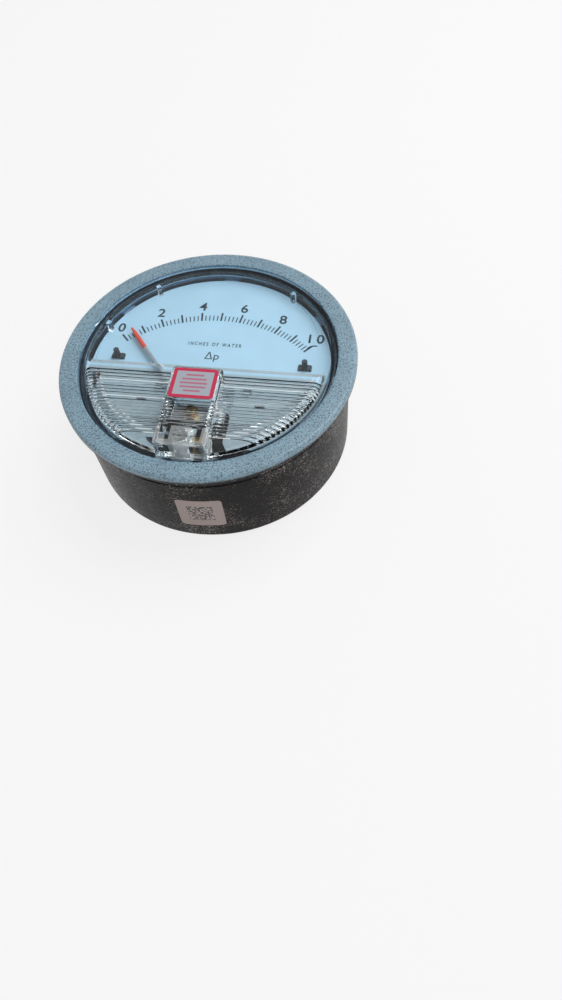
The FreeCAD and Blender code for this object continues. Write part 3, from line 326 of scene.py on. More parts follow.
def noise_between(tree, place, millimetres, detail, low, high):
    """Noise with features of this size. Returns its plain value and its value spread from low to high."""
    noise = add_node(
        tree, "ShaderNodeTexNoise", {"Vector": place, "Scale": per_mm(millimetres), "Detail": detail})
    spread = add_node(
        tree, "ShaderNodeMapRange",
        {"Value": noise.outputs["Fac"], "From Min": NOISE_LOW, "From Max": NOISE_HIGH,
         "To Min": low, "To Max": high})
    return noise.outputs["Fac"], spread.outputs["Result"]


def coat_colour(tree, place, coat, speck, flake=None):
    """Colour of a hammertone coat: cloudy ground, dark specks and, if given, clusters of bright flakes, which
    are painted glints.
    """
    grain = add_node(
        tree, "ShaderNodeTexNoise", {"Vector": place, "Scale": per_mm(0.6), "Detail": 2.0, "Roughness": 0.7})
    cloud, shade = noise_between(tree, place, 16.0, 3.0, 0.9, 1.08)
    cover = add_node(
        tree, "ShaderNodeMapRange", {"Value": grain.outputs["Fac"], "From Min": 0.38, "From Max": 0.51})
    colour = add_node(
        tree, "ShaderNodeMix", {"Factor": cover, "A": rgba(speck), "B": rgba(coat)}, data_type="RGBA")
    tone = add_node(
        tree, "ShaderNodeVectorMath", {0: colour.outputs["Result"], "Scale": shade}, operation="SCALE")
    if flake is None:
        return tone.outputs["Vector"]
    # Painted glints: bright specks in clusters, in place of light glinting off the flakes of the coat
    glint_cells = add_node(tree, "ShaderNodeTexVoronoi", {"Vector": place, "Scale": per_mm(0.38)})
    glint_chance = add_node(tree, "ShaderNodeMath", {0: cloud, 1: glint_cells.outputs["Color"]}, operation="ADD")
    bright = add_node(tree, "ShaderNodeMapRange", {"Value": glint_chance, "From Min": 1.25, "From Max": 1.5})
    glint = add_node(tree, "ShaderNodeMix", {"Factor": bright, "A": tone, "B": rgba(flake)}, data_type="RGBA")
    return glint.outputs["Result"]


def hammertone_enamel(name):
    """Stoved hammertone enamel on die-cast aluminium, with a dimpled gloss and no colour yet.

    Returns the material, its tree, the place on the piece and the shader."""
    material, tree, place = new_finish(name)
    grain, gloss = noise_between(tree, place, 1.1, 3.0, 0.45, 0.25)
    dimple = add_node(
        tree, "ShaderNodeTexVoronoi", {"Vector": place, "Scale": per_mm(1.7), "Smoothness": 0.7},
        feature="SMOOTH_F1")
    height = add_node(tree, "ShaderNodeMath", {0: dimple.outputs["Distance"], 1: grain}, operation="ADD")
    bump = add_node(tree, "ShaderNodeBump", {"Height": height, "Strength": 0.45, "Distance": 0.16 * MM})
    shader = new_surface(tree, {"Roughness": gloss, "Normal": bump, "IOR": 1.5})
    return material, tree, place, shader


def bezel_paint(colours):
    """Hammertone enamel, dark on the skirt below the flange, with painted light on the face of the flange and
    in its opening: a pale, lit copy of the coat.

    The face is glossier than the rest."""
    material, tree, place, shader = hammertone_enamel("hammertone_enamel_bezel_lit_face")
    # Painted light: a pale, lit copy of the dark coat goes on the face of the flange and in its opening
    lit_coat = coat_colour(tree, place, colours.flange, colours.flange_speck)
    dark = coat_colour(tree, place, colours.case, colours.case_speck, colours.case_flake)
    height = add_node(tree, "ShaderNodeSeparateXYZ", {"Vector": place}).outputs["Z"]
    front = add_node(
        tree, "ShaderNodeMapRange",
        {"Value": height, "From Min": FLANGE_TOP - LIT_FACE_EDGE - LIT_FACE_FADE, "From Max": FLANGE_TOP - LIT_FACE_EDGE})
    opening = add_node(
        tree, "ShaderNodeMath", {0: axis_distance(tree, place), 1: OPENING_SIDE}, operation="LESS_THAN")
    face = add_node(tree, "ShaderNodeMath", {0: front, 1: opening}, operation="MAXIMUM")
    mixed = add_node(tree, "ShaderNodeMix", {"Factor": face, "A": dark, "B": lit_coat}, data_type="RGBA")
    tree.links.new(mixed.outputs["Result"], shader.inputs["Base Color"])
    bright = add_node(tree, "ShaderNodeMath", {0: front, 1: opening}, operation="SUBTRACT")
    sheen = add_node(
        tree, "ShaderNodeMapRange", {"Value": bright, "To Min": CASE_SHEEN, "To Max": FACE_SHEEN})
    tree.links.new(sheen.outputs["Result"], shader.inputs["Specular IOR Level"])
    return material


def case_paint(colours):
    """Dark hammertone enamel outside, bare cast and machined metal in the chambers and ports."""
    material, tree, place, shader = hammertone_enamel("hammertone_enamel_case")
    shader.inputs["Specular IOR Level"].default_value = CASE_SHEEN
    dark = coat_colour(tree, place, colours.case, colours.case_speck, colours.case_flake)
    parts = add_node(tree, "ShaderNodeSeparateXYZ", {"Vector": place})
    inside = add_node(
        tree, "ShaderNodeMath", {0: axis_distance(tree, place), 1: CASE_R - CASE_SKIN}, operation="LESS_THAN")
    over_back = add_node(
        tree, "ShaderNodeMath", {0: parts.outputs["Z"], 1: BACK_SKIN}, operation="GREATER_THAN")
    bare = add_node(tree, "ShaderNodeMath", {0: inside, 1: over_back}, operation="MULTIPLY")
    mixed = add_node(
        tree, "ShaderNodeMix", {"Factor": bare, "A": dark, "B": rgba(colours.bare_casting)}, data_type="RGBA")
    tree.links.new(mixed.outputs["Result"], shader.inputs["Base Color"])
    tree.links.new(bare.outputs["Value"], shader.inputs["Metallic"])
    return material


def clear_acrylic(colours):
    """Moulded clear acrylic: polished, with a faint cool tint and weak flow marks that waver the gloss.

    Light from the lamps passes it straight. The upright wall of the rim has a deeper blue-grey tint, painted
    shade that stands in for the shaded band seen between the bezel and the dial. The end block of the spine
    is frosted round its screw barrel and along its edges, which leaves two clear cells beside the barrel."""
    material, tree, place = new_finish("clear_moulded_acrylic")
    path = add_node(tree, "ShaderNodeLightPath")
    gloss = noise_between(tree, place, 7.0, 3.0, 0.01, 0.04)[1]
    parts = add_node(tree, "ShaderNodeSeparateXYZ", {"Vector": place})
    aside = add_node(tree, "ShaderNodeMath", {0: parts.outputs["X"]}, operation="ABSOLUTE")
    beside_barrel = add_node(
        tree, "ShaderNodeMath", {0: aside, 1: CELL_MIDDLE, 2: CELL_HALF}, operation="COMPARE")
    behind_edge = add_node(
        tree, "ShaderNodeMath", {0: parts.outputs["Y"], 1: BLOCK_FRONT + BLOCK_EDGE},
        operation="GREATER_THAN")
    below_edge = add_node(
        tree, "ShaderNodeMath", {0: parts.outputs["Z"], 1: SPINE_TOP - BLOCK_EDGE}, operation="LESS_THAN")
    off_edge = add_node(tree, "ShaderNodeMath", {0: behind_edge, 1: below_edge}, operation="MAXIMUM")
    cell = add_node(tree, "ShaderNodeMath", {0: beside_barrel, 1: off_edge}, operation="MULTIPLY")
    at_end = add_node(tree, "ShaderNodeMath", {0: parts.outputs["Y"], 1: BLOCK_BACK}, operation="LESS_THAN")
    on_spine = add_node(tree, "ShaderNodeMath", {0: aside, 1: SPINE_HALF}, operation="LESS_THAN")
    block = add_node(tree, "ShaderNodeMath", {0: at_end, 1: on_spine}, operation="MULTIPLY")
    walls = add_node(tree, "ShaderNodeMath", {0: block, 1: cell}, operation="SUBTRACT", use_clamp=True)
    clear = add_node(tree, "ShaderNodeMapRange", {"Value": walls, "To Min": 1.0, "To Max": BLOCK_CLEAR})
    # Painted shade: the rim's wall gets a darker blue-grey tint in place of the shade in the band between
    # bezel and dial
    rim = add_node(
        tree, "ShaderNodeMapRange",
        {"Value": axis_distance(tree, place), "From Min": RIM_START, "From Max": RIM_START + RIM_FADE})
    rim_shade_tint = add_node(
        tree, "ShaderNodeMix",
        {"Factor": rim, "A": rgba(colours.acrylic), "B": rgba(colours.acrylic_rim)},
        data_type="RGBA")
    body = add_node(
        tree, "ShaderNodeBsdfPrincipled",
        {"Base Color": rim_shade_tint.outputs["Result"], "Roughness": gloss, "IOR": 1.49,
         "Transmission Weight": clear})
    passed = add_node(tree, "ShaderNodeBsdfTransparent", {"Color": rgba(colours.acrylic)})
    mixed = add_node(tree, "ShaderNodeMixShader", {0: path.outputs["Is Shadow Ray"], 1: body, 2: passed})
    add_node(tree, "ShaderNodeOutputMaterial", {"Surface": mixed})
    return material


def dial_enamel(colours):
    """Sprayed satin enamel on sheet aluminium with a faint orange peel, greyer under the pad."""
    material, tree, place = new_finish("satin_enamel_dial")
    peel = add_node(tree, "ShaderNodeTexNoise", {"Vector": place, "Scale": per_mm(0.8), "Detail": 2.0})
    shade = noise_between(tree, place, 14.0, 2.0, 0.97, 1.02)[1]
    up_the_dial = add_node(tree, "ShaderNodeSeparateXYZ", {"Vector": place}).outputs["Y"]
    above_grey = add_node(
        tree, "ShaderNodeMapRange",
        {"Value": up_the_dial, "From Min": GREY_EDGE - GREY_FADE, "From Max": GREY_EDGE})
    # The dial colour holds a painted blue skylight tint
    colour = add_node(
        tree, "ShaderNodeMix",
        {"Factor": above_grey, "A": rgba(colours.dial_back), "B": rgba(colours.dial)},
        data_type="RGBA")
    tone = add_node(
        tree, "ShaderNodeVectorMath", {0: colour.outputs["Result"], "Scale": shade}, operation="SCALE")
    bump = add_node(
        tree, "ShaderNodeBump", {"Height": peel.outputs["Fac"], "Strength": 0.1, "Distance": 0.03 * MM})
    new_surface(tree, {"Base Color": tone, "Roughness": 0.42, "IOR": 1.5, "Normal": bump})
    return material


def printed_ink(name, colour):
    """Screen printed ink: thin, matt, with slightly uneven cover."""
    material, tree, place = new_finish(name)
    gloss = noise_between(tree, place, 0.6, 2.0, 0.45, 0.62)[1]
    new_surface(tree, {"Base Color": rgba(colour), "Roughness": gloss, "Specular IOR Level": 0.3})
    return material


def speckled_print(colours):
    """Field of small random squares, as a plain printed texture on the sticker film."""
    material, tree, place = new_finish("speckled_sticker_print")
    flat = add_node(tree, "ShaderNodeVectorMath", {0: place, 1: (1.0, 0.0, 1.0)}, operation="MULTIPLY")
    cell = add_node(
        tree, "ShaderNodeVectorMath", {0: flat, 1: (SPECK_SIDE, 1.0, SPECK_SIDE)}, operation="SNAP")
    chance = add_node(tree, "ShaderNodeTexWhiteNoise", {"Vector": cell})
    dark = add_node(
        tree, "ShaderNodeMath", {0: chance.outputs["Value"], 1: SPECK_LIMIT}, operation="GREATER_THAN")
    colour = add_node(
        tree, "ShaderNodeMix",
        {"Factor": dark, "A": rgba(colours.sticker), "B": rgba(colours.sticker_print)},
        data_type="RGBA")
    new_surface(tree, {"Base Color": colour.outputs["Result"], "Roughness": 0.35})
    return material


def worked_metal(name, code, rough, line_mm):
    """Metal with fine tool lines, which streak its gloss."""
    material, tree, place = new_finish(name)
    drawn = add_node(tree, "ShaderNodeMapping", {"Vector": place, "Scale": (LINE_SQUEEZE, 1.0, 1.0)})
    lines, gloss = noise_between(tree, drawn, line_mm, 3.0, rough - 0.08, rough + 0.1)
    bump = add_node(tree, "ShaderNodeBump", {"Height": lines, "Strength": 0.15, "Distance": 0.02 * MM})
    new_surface(tree, {"Base Color": rgba(linear(code)), "Metallic": 1.0, "Roughness": gloss, "Normal": bump})
    return material


def slotted_zinc():
    """Zinc plated screw heads, with the shadow of a driver slot across their tops."""
    material, tree, place = new_finish("zinc_plated_slotted_heads")
    parts = add_node(tree, "ShaderNodeSeparateXYZ", {"Vector": place})
    slot = add_node(
        tree, "ShaderNodeMath", {0: parts.outputs["Y"], 1: SCREW_Y, 2: SLOT_HALF}, operation="COMPARE")
    gloss = noise_between(tree, place, 0.4, 2.0, 0.3, 0.5)[1]
    bare = add_node(tree, "ShaderNodeMath", {0: 1.0, 1: slot}, operation="SUBTRACT")
    colour = add_node(
        tree, "ShaderNodeMix",
        {"Factor": slot, "A": rgba(linear("#BFC3C6")), "B": rgba(linear("#0C0D0E"))},
        data_type="RGBA")
    new_surface(tree, {"Base Color": colour.outputs["Result"], "Metallic": bare, "Roughness": gloss})
    return material


def moulded(name, code, rough, grain_mm, specular=0.4):
    """Moulded rubber or plastic with a fine mould grain."""
    material, tree, place = new_finish(name)
    grain, gloss = noise_between(tree, place, grain_mm, 2.0, rough - 0.08, rough + 0.08)
    bump = add_node(tree, "ShaderNodeBump", {"Height": grain, "Strength": 0.2, "Distance": 0.03 * MM})
    new_surface(
        tree,
        {"Base Color": rgba(linear(code)), "Roughness": gloss, "Specular IOR Level": specular,
         "Normal": bump})
    return material


def pointer_finish(colours):
    """Drawn aluminium tube, its end dipped in red paint."""
    material, tree, place = new_finish("drawn_aluminium_red_tip")
    from_axis = add_node(
        tree, "ShaderNodeVectorMath", {0: place, 1: (PIVOT.x, PIVOT.y, PIVOT.z)}, operation="DISTANCE")
    tip = add_node(
        tree, "ShaderNodeMath", {0: from_axis.outputs["Value"], 1: TIP_START}, operation="GREATER_THAN")
    bare = add_node(tree, "ShaderNodeMath", {0: 1.0, 1: tip}, operation="SUBTRACT")
    gloss = noise_between(tree, place, 0.5, 2.0, 0.26, 0.44)[1]
    colour = add_node(
        tree, "ShaderNodeMix",
        {"Factor": tip, "A": rgba(linear("#C4C9CC")), "B": rgba(colours.red)},
        data_type="RGBA")
    new_surface(tree, {"Base Color": colour.outputs["Result"], "Metallic": bare, "Roughness": gloss})
    return material


def see_through(name, code, rough, weight, ior):
    """Tinted plastic or jewel that lets part of the light through."""
    material, tree, place = new_finish(name)
    flow = add_node(tree, "ShaderNodeTexNoise", {"Vector": place, "Scale": per_mm(1.5), "Detail": 2.0})
    bump = add_node(
        tree, "ShaderNodeBump", {"Height": flow.outputs["Fac"], "Strength": 0.1, "Distance": 0.05 * MM})
    new_surface(
        tree,
        {"Base Color": rgba(linear(code)), "Roughness": rough, "IOR": ior, "Transmission Weight": weight,
         "Normal": bump})
    return material


def paint_nodes(material, *names):
    """Give CAD nodes this material in place of their plain one."""
    for name in names:
        slots = frame["nodes"][name].data.materials
        slots.clear()
        slots.append(material)


def merged_copy(node):
    """Bmesh of a CAD node with its loose triangles joined."""
    bm = bmesh.new()
    bm.from_mesh(frame["nodes"][node].data)
    bmesh.ops.remove_doubles(bm, verts=bm.verts, dist=WELD)
    return bm


def cut_across(bm, point, normal, **options):
    """Cut every face on a plane. Returns the edges along the cut."""
    made = bmesh.ops.bisect_plane(
        bm, geom=bm.verts[:] + bm.edges[:] + bm.faces[:], plane_co=point, plane_no=normal, **options)
    return [item for item in made["geom_cut"] if isinstance(item, bmesh.types.BMEdge)]


def new_piece(name, bm, body, materials):
    """Object at the origin from a finished bmesh, riding on a CAD body if one is given."""
    mesh = bpy.data.meshes.new(name)
    bm.to_mesh(mesh)
    bm.free()
    for material in materials:
        mesh.materials.append(material)
    piece = bpy.data.objects.new(name, mesh)
    bpy.context.scene.collection.objects.link(piece)
    if body:
        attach(piece, body)
    return piece


def add_bar(bm, middle, width, length, turn=0.0):
    """Flat bar in the XY plane, its length along Y before it is turned."""
    size = Matrix.Diagonal((width, length, 1.0, 1.0))
    place = Matrix.Translation(middle) @ Matrix.Rotation(turn, 4, "Z") @ size
    bmesh.ops.create_grid(bm, x_segments=1, y_segments=1, size=0.5, matrix=place)


def add_text(bm, text, middle, height, spacing=1.0, weight=0.0, narrow=1.0):
    """Flat filled text of a given height round a middle point, its letters narrowed by a factor."""
    curve = bpy.data.curves.new("text", "FONT")
    curve.body = text
    curve.align_x = "CENTER"
    curve.offset = weight
    curve.space_character = spacing
    maker = bpy.data.objects.new("text", curve)
    bpy.context.scene.collection.objects.link(maker)
    graph = bpy.context.evaluated_depsgraph_get()
    mesh = bpy.data.meshes.new_from_object(maker.evaluated_get(graph))
    bpy.data.objects.remove(maker)
    bpy.data.curves.remove(curve)
    corners = [vertex.co.copy() for vertex in mesh.vertices]
    low = Vector(min(c[i] for c in corners) for i in range(3))
    high = Vector(max(c[i] for c in corners) for i in range(3))
    size = height / (high.y - low.y)
    mesh.transform(
        Matrix.Translation(middle) @ Matrix.Diagonal((size * narrow, size, size, 1.0))
        @ Matrix.Translation(-(low + high) / 2))
    bm.from_mesh(mesh)
    bpy.data.meshes.remove(mesh)


def rounded_sheet(bm, width, height, corner, steps=5):
    """Flat rounded rectangle round the origin. Returns its face."""
    made = bmesh.ops.create_grid(
        bm, x_segments=1, y_segments=1, size=0.5, matrix=Matrix.Diagonal((width, height, 1.0, 1.0)))
    bmesh.ops.bevel(
        bm, geom=made["verts"], offset=corner, affect="VERTICES", segments=steps, profile=0.5, material=-1)
    return bm.faces[:][-1]


class GAUGE_OT_castings(Operator):
    """Paint the case and the bezel"""
    bl_idname = "gauge.castings"
    bl_label = "Paint castings"

    def execute(self, context):
        colours = context.scene.gauge_colours
        paint_nodes(case_paint(colours), "case")
        paint_nodes(bezel_paint(colours), "bezel")
        return {"FINISHED"}


class GAUGE_OT_cover(Operator):
    """Make the cover clear and finish its zero screw"""
    bl_idname = "gauge.cover"
    bl_label = "Clear cover"

    def execute(self, context):
        paint_nodes(clear_acrylic(context.scene.gauge_colours), "cover")
        paint_nodes(
            see_through("frosted_clear_plastic", "#F4F8FA", rough=0.12, weight=0.78, ior=1.49), "zero_screw")
        return {"FINISHED"}


class GAUGE_OT_dial(Operator):
    """Finish the scale plate, the pointer and its stops"""
    bl_idname = "gauge.dial"
    bl_label = "Finish dial and pointer"

    def execute(self, context):
        colours = context.scene.gauge_colours
        paint_nodes(dial_enamel(colours), "scale_plate")
        paint_nodes(pointer_finish(colours), "pointer", "pointer_hub")
        paint_nodes(
            moulded("black_moulded_rubber", "#2C343A", 0.6, 0.5),
            "pointer_stop_left", "pointer_stop_right", "cover_o_ring", "zero_screw_o_ring")
        return {"FINISHED"}


class GAUGE_OT_movement(Operator):
    """Finish the parts inside the case"""
    bl_idname = "gauge.movement"
    bl_label = "Finish movement"

    def execute(self, context):
        paint_nodes(
            worked_metal("bare_machined_aluminium", "#D2D5D7", 0.32, 0.35),
            "scale_posts", "sealing_plate", "diaphragm_front_plate", "diaphragm_rear_plate",
            "spring_clamp_base", "wishbone_bridge")
        paint_nodes(
            worked_metal("zinc_plated_steel", "#BFC3C6", 0.3, 0.3),
            "foot_screws", "foot_washers", "spring_clamp_screws", "spring_clamp_plate",
            "wishbone_screws", "bracket_screws", "magnet_rivet", "zero_screw_clip", "helix_shaft",
            "retaining_ring", "zero_foot")
        paint_nodes(
            worked_metal("turned_brass", "#C9A558", 0.24, 0.25),
            "foot_spacers", "linkage_post", "linkage_nut", "adjust_screw", "front_jewel_screw",
            "front_jewel_nut", "pointer_weight")
        paint_nodes(slotted_zinc(), "scale_screws")
        paint_nodes(worked_metal("polished_spring_steel", "#A9AEB3", 0.2, 0.2), "range_spring")
        paint_nodes(worked_metal("sintered_magnet", "#55575B", 0.5, 0.6), "magnet")
        paint_nodes(moulded("black_oxide_steel", "#17181A", 0.42, 0.4), "helix")
        paint_nodes(
            moulded("black_moulded_plastic", "#0E0F11", 0.5, 0.6, specular=0.2), "zero_bracket", "wishbone")
        paint_nodes(moulded("red_silicone_sheet", "#8E3B2C", 0.6, 0.8), "diaphragm")
        paint_nodes(moulded("grey_silicone", "#8A8C8F", 0.55, 0.7), "overpressure_plug")
        paint_nodes(see_through("synthetic_ruby", "#C22B49", rough=0.05, weight=0.7, ior=1.77), "rear_jewel")
        return {"FINISHED"}


class GAUGE_OT_flexing_parts(Operator):
    """Cut copies of the range spring across and of the diaphragm into sectors, in place of the CAD pieces"""
    bl_idname = "gauge.flexing_parts"
    bl_label = "Add flexing parts"

    def execute(self, context):
        hinge = Vector(JOINTS["spring_flex"]["pos_m"])
        bend = Vector((0, -LEAF_BEND, 0))
        leaf = merged_copy("range_spring")
        for index in range(LEAF_CUTS + 1):
            cut_across(leaf, hinge + bend * index / LEAF_CUTS, bend)
        steel = bpy.data.materials["polished_spring_steel"]
        piece = new_piece("range_spring_leaf", leaf, None, [steel])
        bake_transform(piece)
        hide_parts("range_spring")

        rubber = bpy.data.materials["red_silicone_sheet"]
        half = math.pi / SECTORS
        for index in range(SECTORS):
            sheet = merged_copy("diaphragm")
            for side in (-1, 1):
                across = Matrix.Rotation(half * (2 * index + side), 3, "Z") @ Vector((0, side, 0))
                edges = cut_across(sheet, (0, 0, 0), across, clear_outer=True)
                bmesh.ops.edgeloop_fill(sheet, edges=edges)
            bmesh.ops.recalc_face_normals(sheet, faces=sheet.faces)
            piece = new_piece(f"diaphragm_sector_{index + 1:02d}", sheet, None, [rubber])
            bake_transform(piece)
            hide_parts("diaphragm")
        return {"FINISHED"}


class GAUGE_OT_brass_plate(Operator):
    """Set a brass plate with its rivet on the bracket, beside the adjusting screw"""
    bl_idname = "gauge.brass_plate"
    bl_label = "Add brass plate"

    def execute(self, context):
        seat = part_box("zero_bracket")[1].z
        bm = bmesh.new()
        face = rounded_sheet(bm, *PLATE_SIZE, PLATE_CORNER)
        bmesh.ops.transform(bm, matrix=Matrix.Translation((*PLATE_PLACE, seat)), verts=bm.verts)
        made = bmesh.ops.extrude_face_region(bm, geom=[face])
        top = [item for item in made["geom"] if isinstance(item, bmesh.types.BMVert)]
        bmesh.ops.translate(bm, verts=top, vec=(0, 0, PLATE_THICK))
        head = bmesh.ops.create_cone(
            bm, cap_ends=True, segments=24, radius1=RIVET_FOOT_R, radius2=RIVET_TOP_R, depth=RIVET_RISE,
            matrix=Matrix.Translation((*RIVET_PLACE, seat + PLATE_THICK + RIVET_RISE / 2)))
        bmesh.ops.recalc_face_normals(bm, faces=bm.faces)
        rim = {edge for vertex in head["verts"] for edge in vertex.link_edges}
        sharp = [edge for edge in bm.edges if edge not in rim and edge.calc_face_angle(0.0) > SHARP_TURN]
        bmesh.ops.bevel(
            bm, geom=sharp, offset=PLATE_EDGE, affect="EDGES", segments=2, profile=0.5, material=-1)
        new_piece("adjusting_plate", bm, "housing", [bpy.data.materials["turned_brass"]])
        return {"FINISHED"}


class GAUGE_OT_scale_marks(Operator):
    """Print the marks of the scale"""
    bl_idname = "gauge.scale_marks"
    bl_label = "Print scale marks"

    def execute(self, context):
        scale = context.scene.gauge_scale
        bm = bmesh.new()
        ground = Vector((PIVOT.x, PIVOT.y, DIAL_TOP + INK_RISE))
        count = scale.units * scale.parts
        for index in range(count + 1):
            turn = scale.half_sweep * (1 - 2 * index / count)
            is_long = index % scale.parts == 0
            outer = scale.radius if is_long else scale.short_radius
            width = scale.long_width if is_long else scale.short_width
            middle = Matrix.Rotation(turn, 3, "Z") @ Vector((0, (outer + scale.inner_radius) / 2, 0))
            add_bar(bm, ground + middle, width, outer - scale.inner_radius, turn)
        hook_middle = Vector((scale.hook_x, scale.hook_y, ground.z))
        start = Matrix.Rotation(scale.hook_start, 3, "Z")
        reaches = [scale.hook_radius + half * scale.hook_width / 2 for half in (-1, 1)]
        ends = [bm.verts.new(hook_middle + start @ Vector((reach, 0, 0))) for reach in reaches]
        bmesh.ops.spin(
            bm, geom=ends + [bm.edges.new(ends)], cent=hook_middle, axis=(0, 0, 1), angle=-scale.hook_sweep,
            steps=HOOK_STEPS)
        bm.normal_update()
        bmesh.ops.reverse_faces(bm, faces=[face for face in bm.faces if face.normal.z < 0])
        bmesh.ops.solidify(bm, geom=bm.faces[:], thickness=INK_RISE)
        ink = printed_ink("screen_printed_slate_ink", context.scene.gauge_colours.ink)
        new_piece("scale_marks", bm, "housing", [ink])
        return {"FINISHED"}


class GAUGE_OT_numerals(Operator):
    """Print the numerals, the unit and the symbol"""
    bl_idname = "gauge.numerals"
    bl_label = "Print numerals"

    def execute(self, context):
        scale = context.scene.gauge_scale
        ink = bpy.data.materials["screen_printed_slate_ink"]
        ground = Vector((PIVOT.x, PIVOT.y, DIAL_TOP + INK_RISE))
        numerals = bmesh.new()
        for value in range(0, scale.units + 1, scale.numeral_step):
            turn = scale.half_sweep * scale.numeral_pull * (1 - 2 * value / scale.units)
            middle = ground + Matrix.Rotation(turn, 3, "Z") @ Vector((0, scale.numeral_radius, 0))
            add_text(numerals, str(value), middle, scale.numeral_height, NUMERAL_SPACING, NUMERAL_WEIGHT)
        bmesh.ops.solidify(numerals, geom=numerals.faces[:], thickness=INK_RISE)
        new_piece("scale_numerals", numerals, "housing", [ink])
        unit = bmesh.new()
        add_text(
            unit, scale.unit_text, Vector((0, scale.unit_y, ground.z)), scale.unit_height, UNIT_SPACING,
            UNIT_WEIGHT, UNIT_NARROW)
        add_text(unit, scale.symbol_text, Vector((0, scale.symbol_y, ground.z)), scale.symbol_height)
        bmesh.ops.solidify(unit, geom=unit.faces[:], thickness=INK_RISE)
        new_piece("scale_unit", unit, "housing", [ink])
        return {"FINISHED"}


class GAUGE_OT_spine_label(Operator):
    """Stick the framed label on the spine of the cover"""
    bl_idname = "gauge.spine_label"
    bl_label = "Add spine label"

    def execute(self, context):
        labels = context.scene.gauge_labels
        colours = context.scene.gauge_colours
        bm = bmesh.new()
        face = rounded_sheet(bm, labels.label_width, labels.label_height, labels.label_corner)
        bmesh.ops.inset_region(
            bm, faces=[face], thickness=labels.label_frame, use_boundary=True, use_even_offset=True)
        face.material_index = 1
        place = Matrix.Translation((0, labels.label_y, SPINE_TOP - LABEL_SEAT + FILM))
        bmesh.ops.transform(bm, matrix=place, verts=bm.verts)
        bmesh.ops.solidify(bm, geom=bm.faces[:], thickness=FILM)
        frame_ink = printed_ink("gloss_red_label_ink", colours.label_frame)
        ground_ink = printed_ink("satin_label_film", colours.label_ground)
        new_piece("spine_label", bm, "housing", [frame_ink, ground_ink])

        bars = bmesh.new()
        bar_z = SPINE_TOP - LABEL_SEAT + FILM + INK_RISE
        for rise, length in LABEL_BARS:
            add_bar(bars, Vector((0, labels.label_y + rise * MM, bar_z)), length * MM, labels.label_bar)
        bmesh.ops.solidify(bars, geom=bars.faces[:], thickness=INK_RISE)
        bar_ink = printed_ink("faded_red_label_ink", colours.label_bar)
        new_piece("spine_label_bars", bars, "housing", [bar_ink])
        return {"FINISHED"}


class GAUGE_OT_case_sticker(Operator):
    """Stick the plain sticker on the side of the case"""
    bl_idname = "gauge.case_sticker"
    bl_label = "Add case sticker"

    def execute(self, context):
        labels = context.scene.gauge_labels
        bm = bmesh.new()
        rounded_sheet(bm, labels.sticker_width, labels.sticker_height, labels.sticker_corner)
        field = labels.sticker_field / 2
        upright = [labels.sticker_width * (i / STICKER_STRIPS - 0.5) for i in range(1, STICKER_STRIPS)]
        cuts = [((place, 0, 0), (1, 0, 0)) for place in upright + [-field, field]]
        cuts += [((0, place, 0), (0, 1, 0)) for place in (-field, field)]
        for point, normal in cuts:
            cut_across(bm, point, normal)
        for face in bm.faces:
            middle = face.calc_center_median()
            face.material_index = int(max(abs(middle.x), abs(middle.y)) < field)
        outer = CASE_R + FILM
        for vertex in bm.verts:
            turn = labels.sticker_turn + vertex.co.x / outer
            vertex.co = (outer * math.sin(turn), -outer * math.cos(turn), labels.sticker_z + vertex.co.y)
        bm.normal_update()
        inwards = [face for face in bm.faces if face.normal.xy.dot(face.calc_center_median().xy) < 0]
        bmesh.ops.reverse_faces(bm, faces=inwards)
        bmesh.ops.solidify(bm, geom=bm.faces[:], thickness=FILM)
        colours = context.scene.gauge_colours
        film = printed_ink("pearl_sticker_film", colours.sticker)
        new_piece("case_sticker", bm, "housing", [film, speckled_print(colours)])
        return {"FINISHED"}


class GAUGE_OT_port_threads(Operator):
    """Cut pipe threads in the pressure ports"""
    bl_idname = "gauge.port_threads"
    bl_label = "Add port threads"

    def execute(self, context):
        pitch = 0.94 * MM
        ridge = 0.84 * MM
        depth = 0.4 * MM
        steps = 28
        metal = bpy.data.materials["bare_machined_aluminium"]
        for port in PORTS:
            bore = port["dims"]["r_mm"] * MM
            length = port["dims"]["length_mm"] * MM
            turns = int(length / pitch) - 1
            bm = bmesh.new()
            start = -length / 2
            profile = [(bore, start), (bore - depth, start + ridge / 2), (bore, start + ridge)]
            corners = [bm.verts.new((x, 0, z)) for x, z in profile]
            edges = [bm.edges.new(pair) for pair in zip(corners, corners[1:] + corners[:1])]
            bmesh.ops.spin(
                bm, geom=corners + edges, cent=(0, 0, 0), axis=(0, 0, 1), dvec=(0, 0, pitch / steps),
                angle=2 * math.pi * turns, steps=steps * turns)
            bmesh.ops.holes_fill(bm, edges=bm.edges[:], sides=len(corners))
            bmesh.ops.recalc_face_normals(bm, faces=bm.faces)
            turn = Vector(port["axis"]).to_track_quat("Z", "Y").to_matrix().to_4x4()
            bmesh.ops.transform(bm, matrix=Matrix.Translation(port["pos_m"]) @ turn, verts=bm.verts)
            new_piece(port["name"] + "_thread", bm, "housing", [metal])
        return {"FINISHED"}


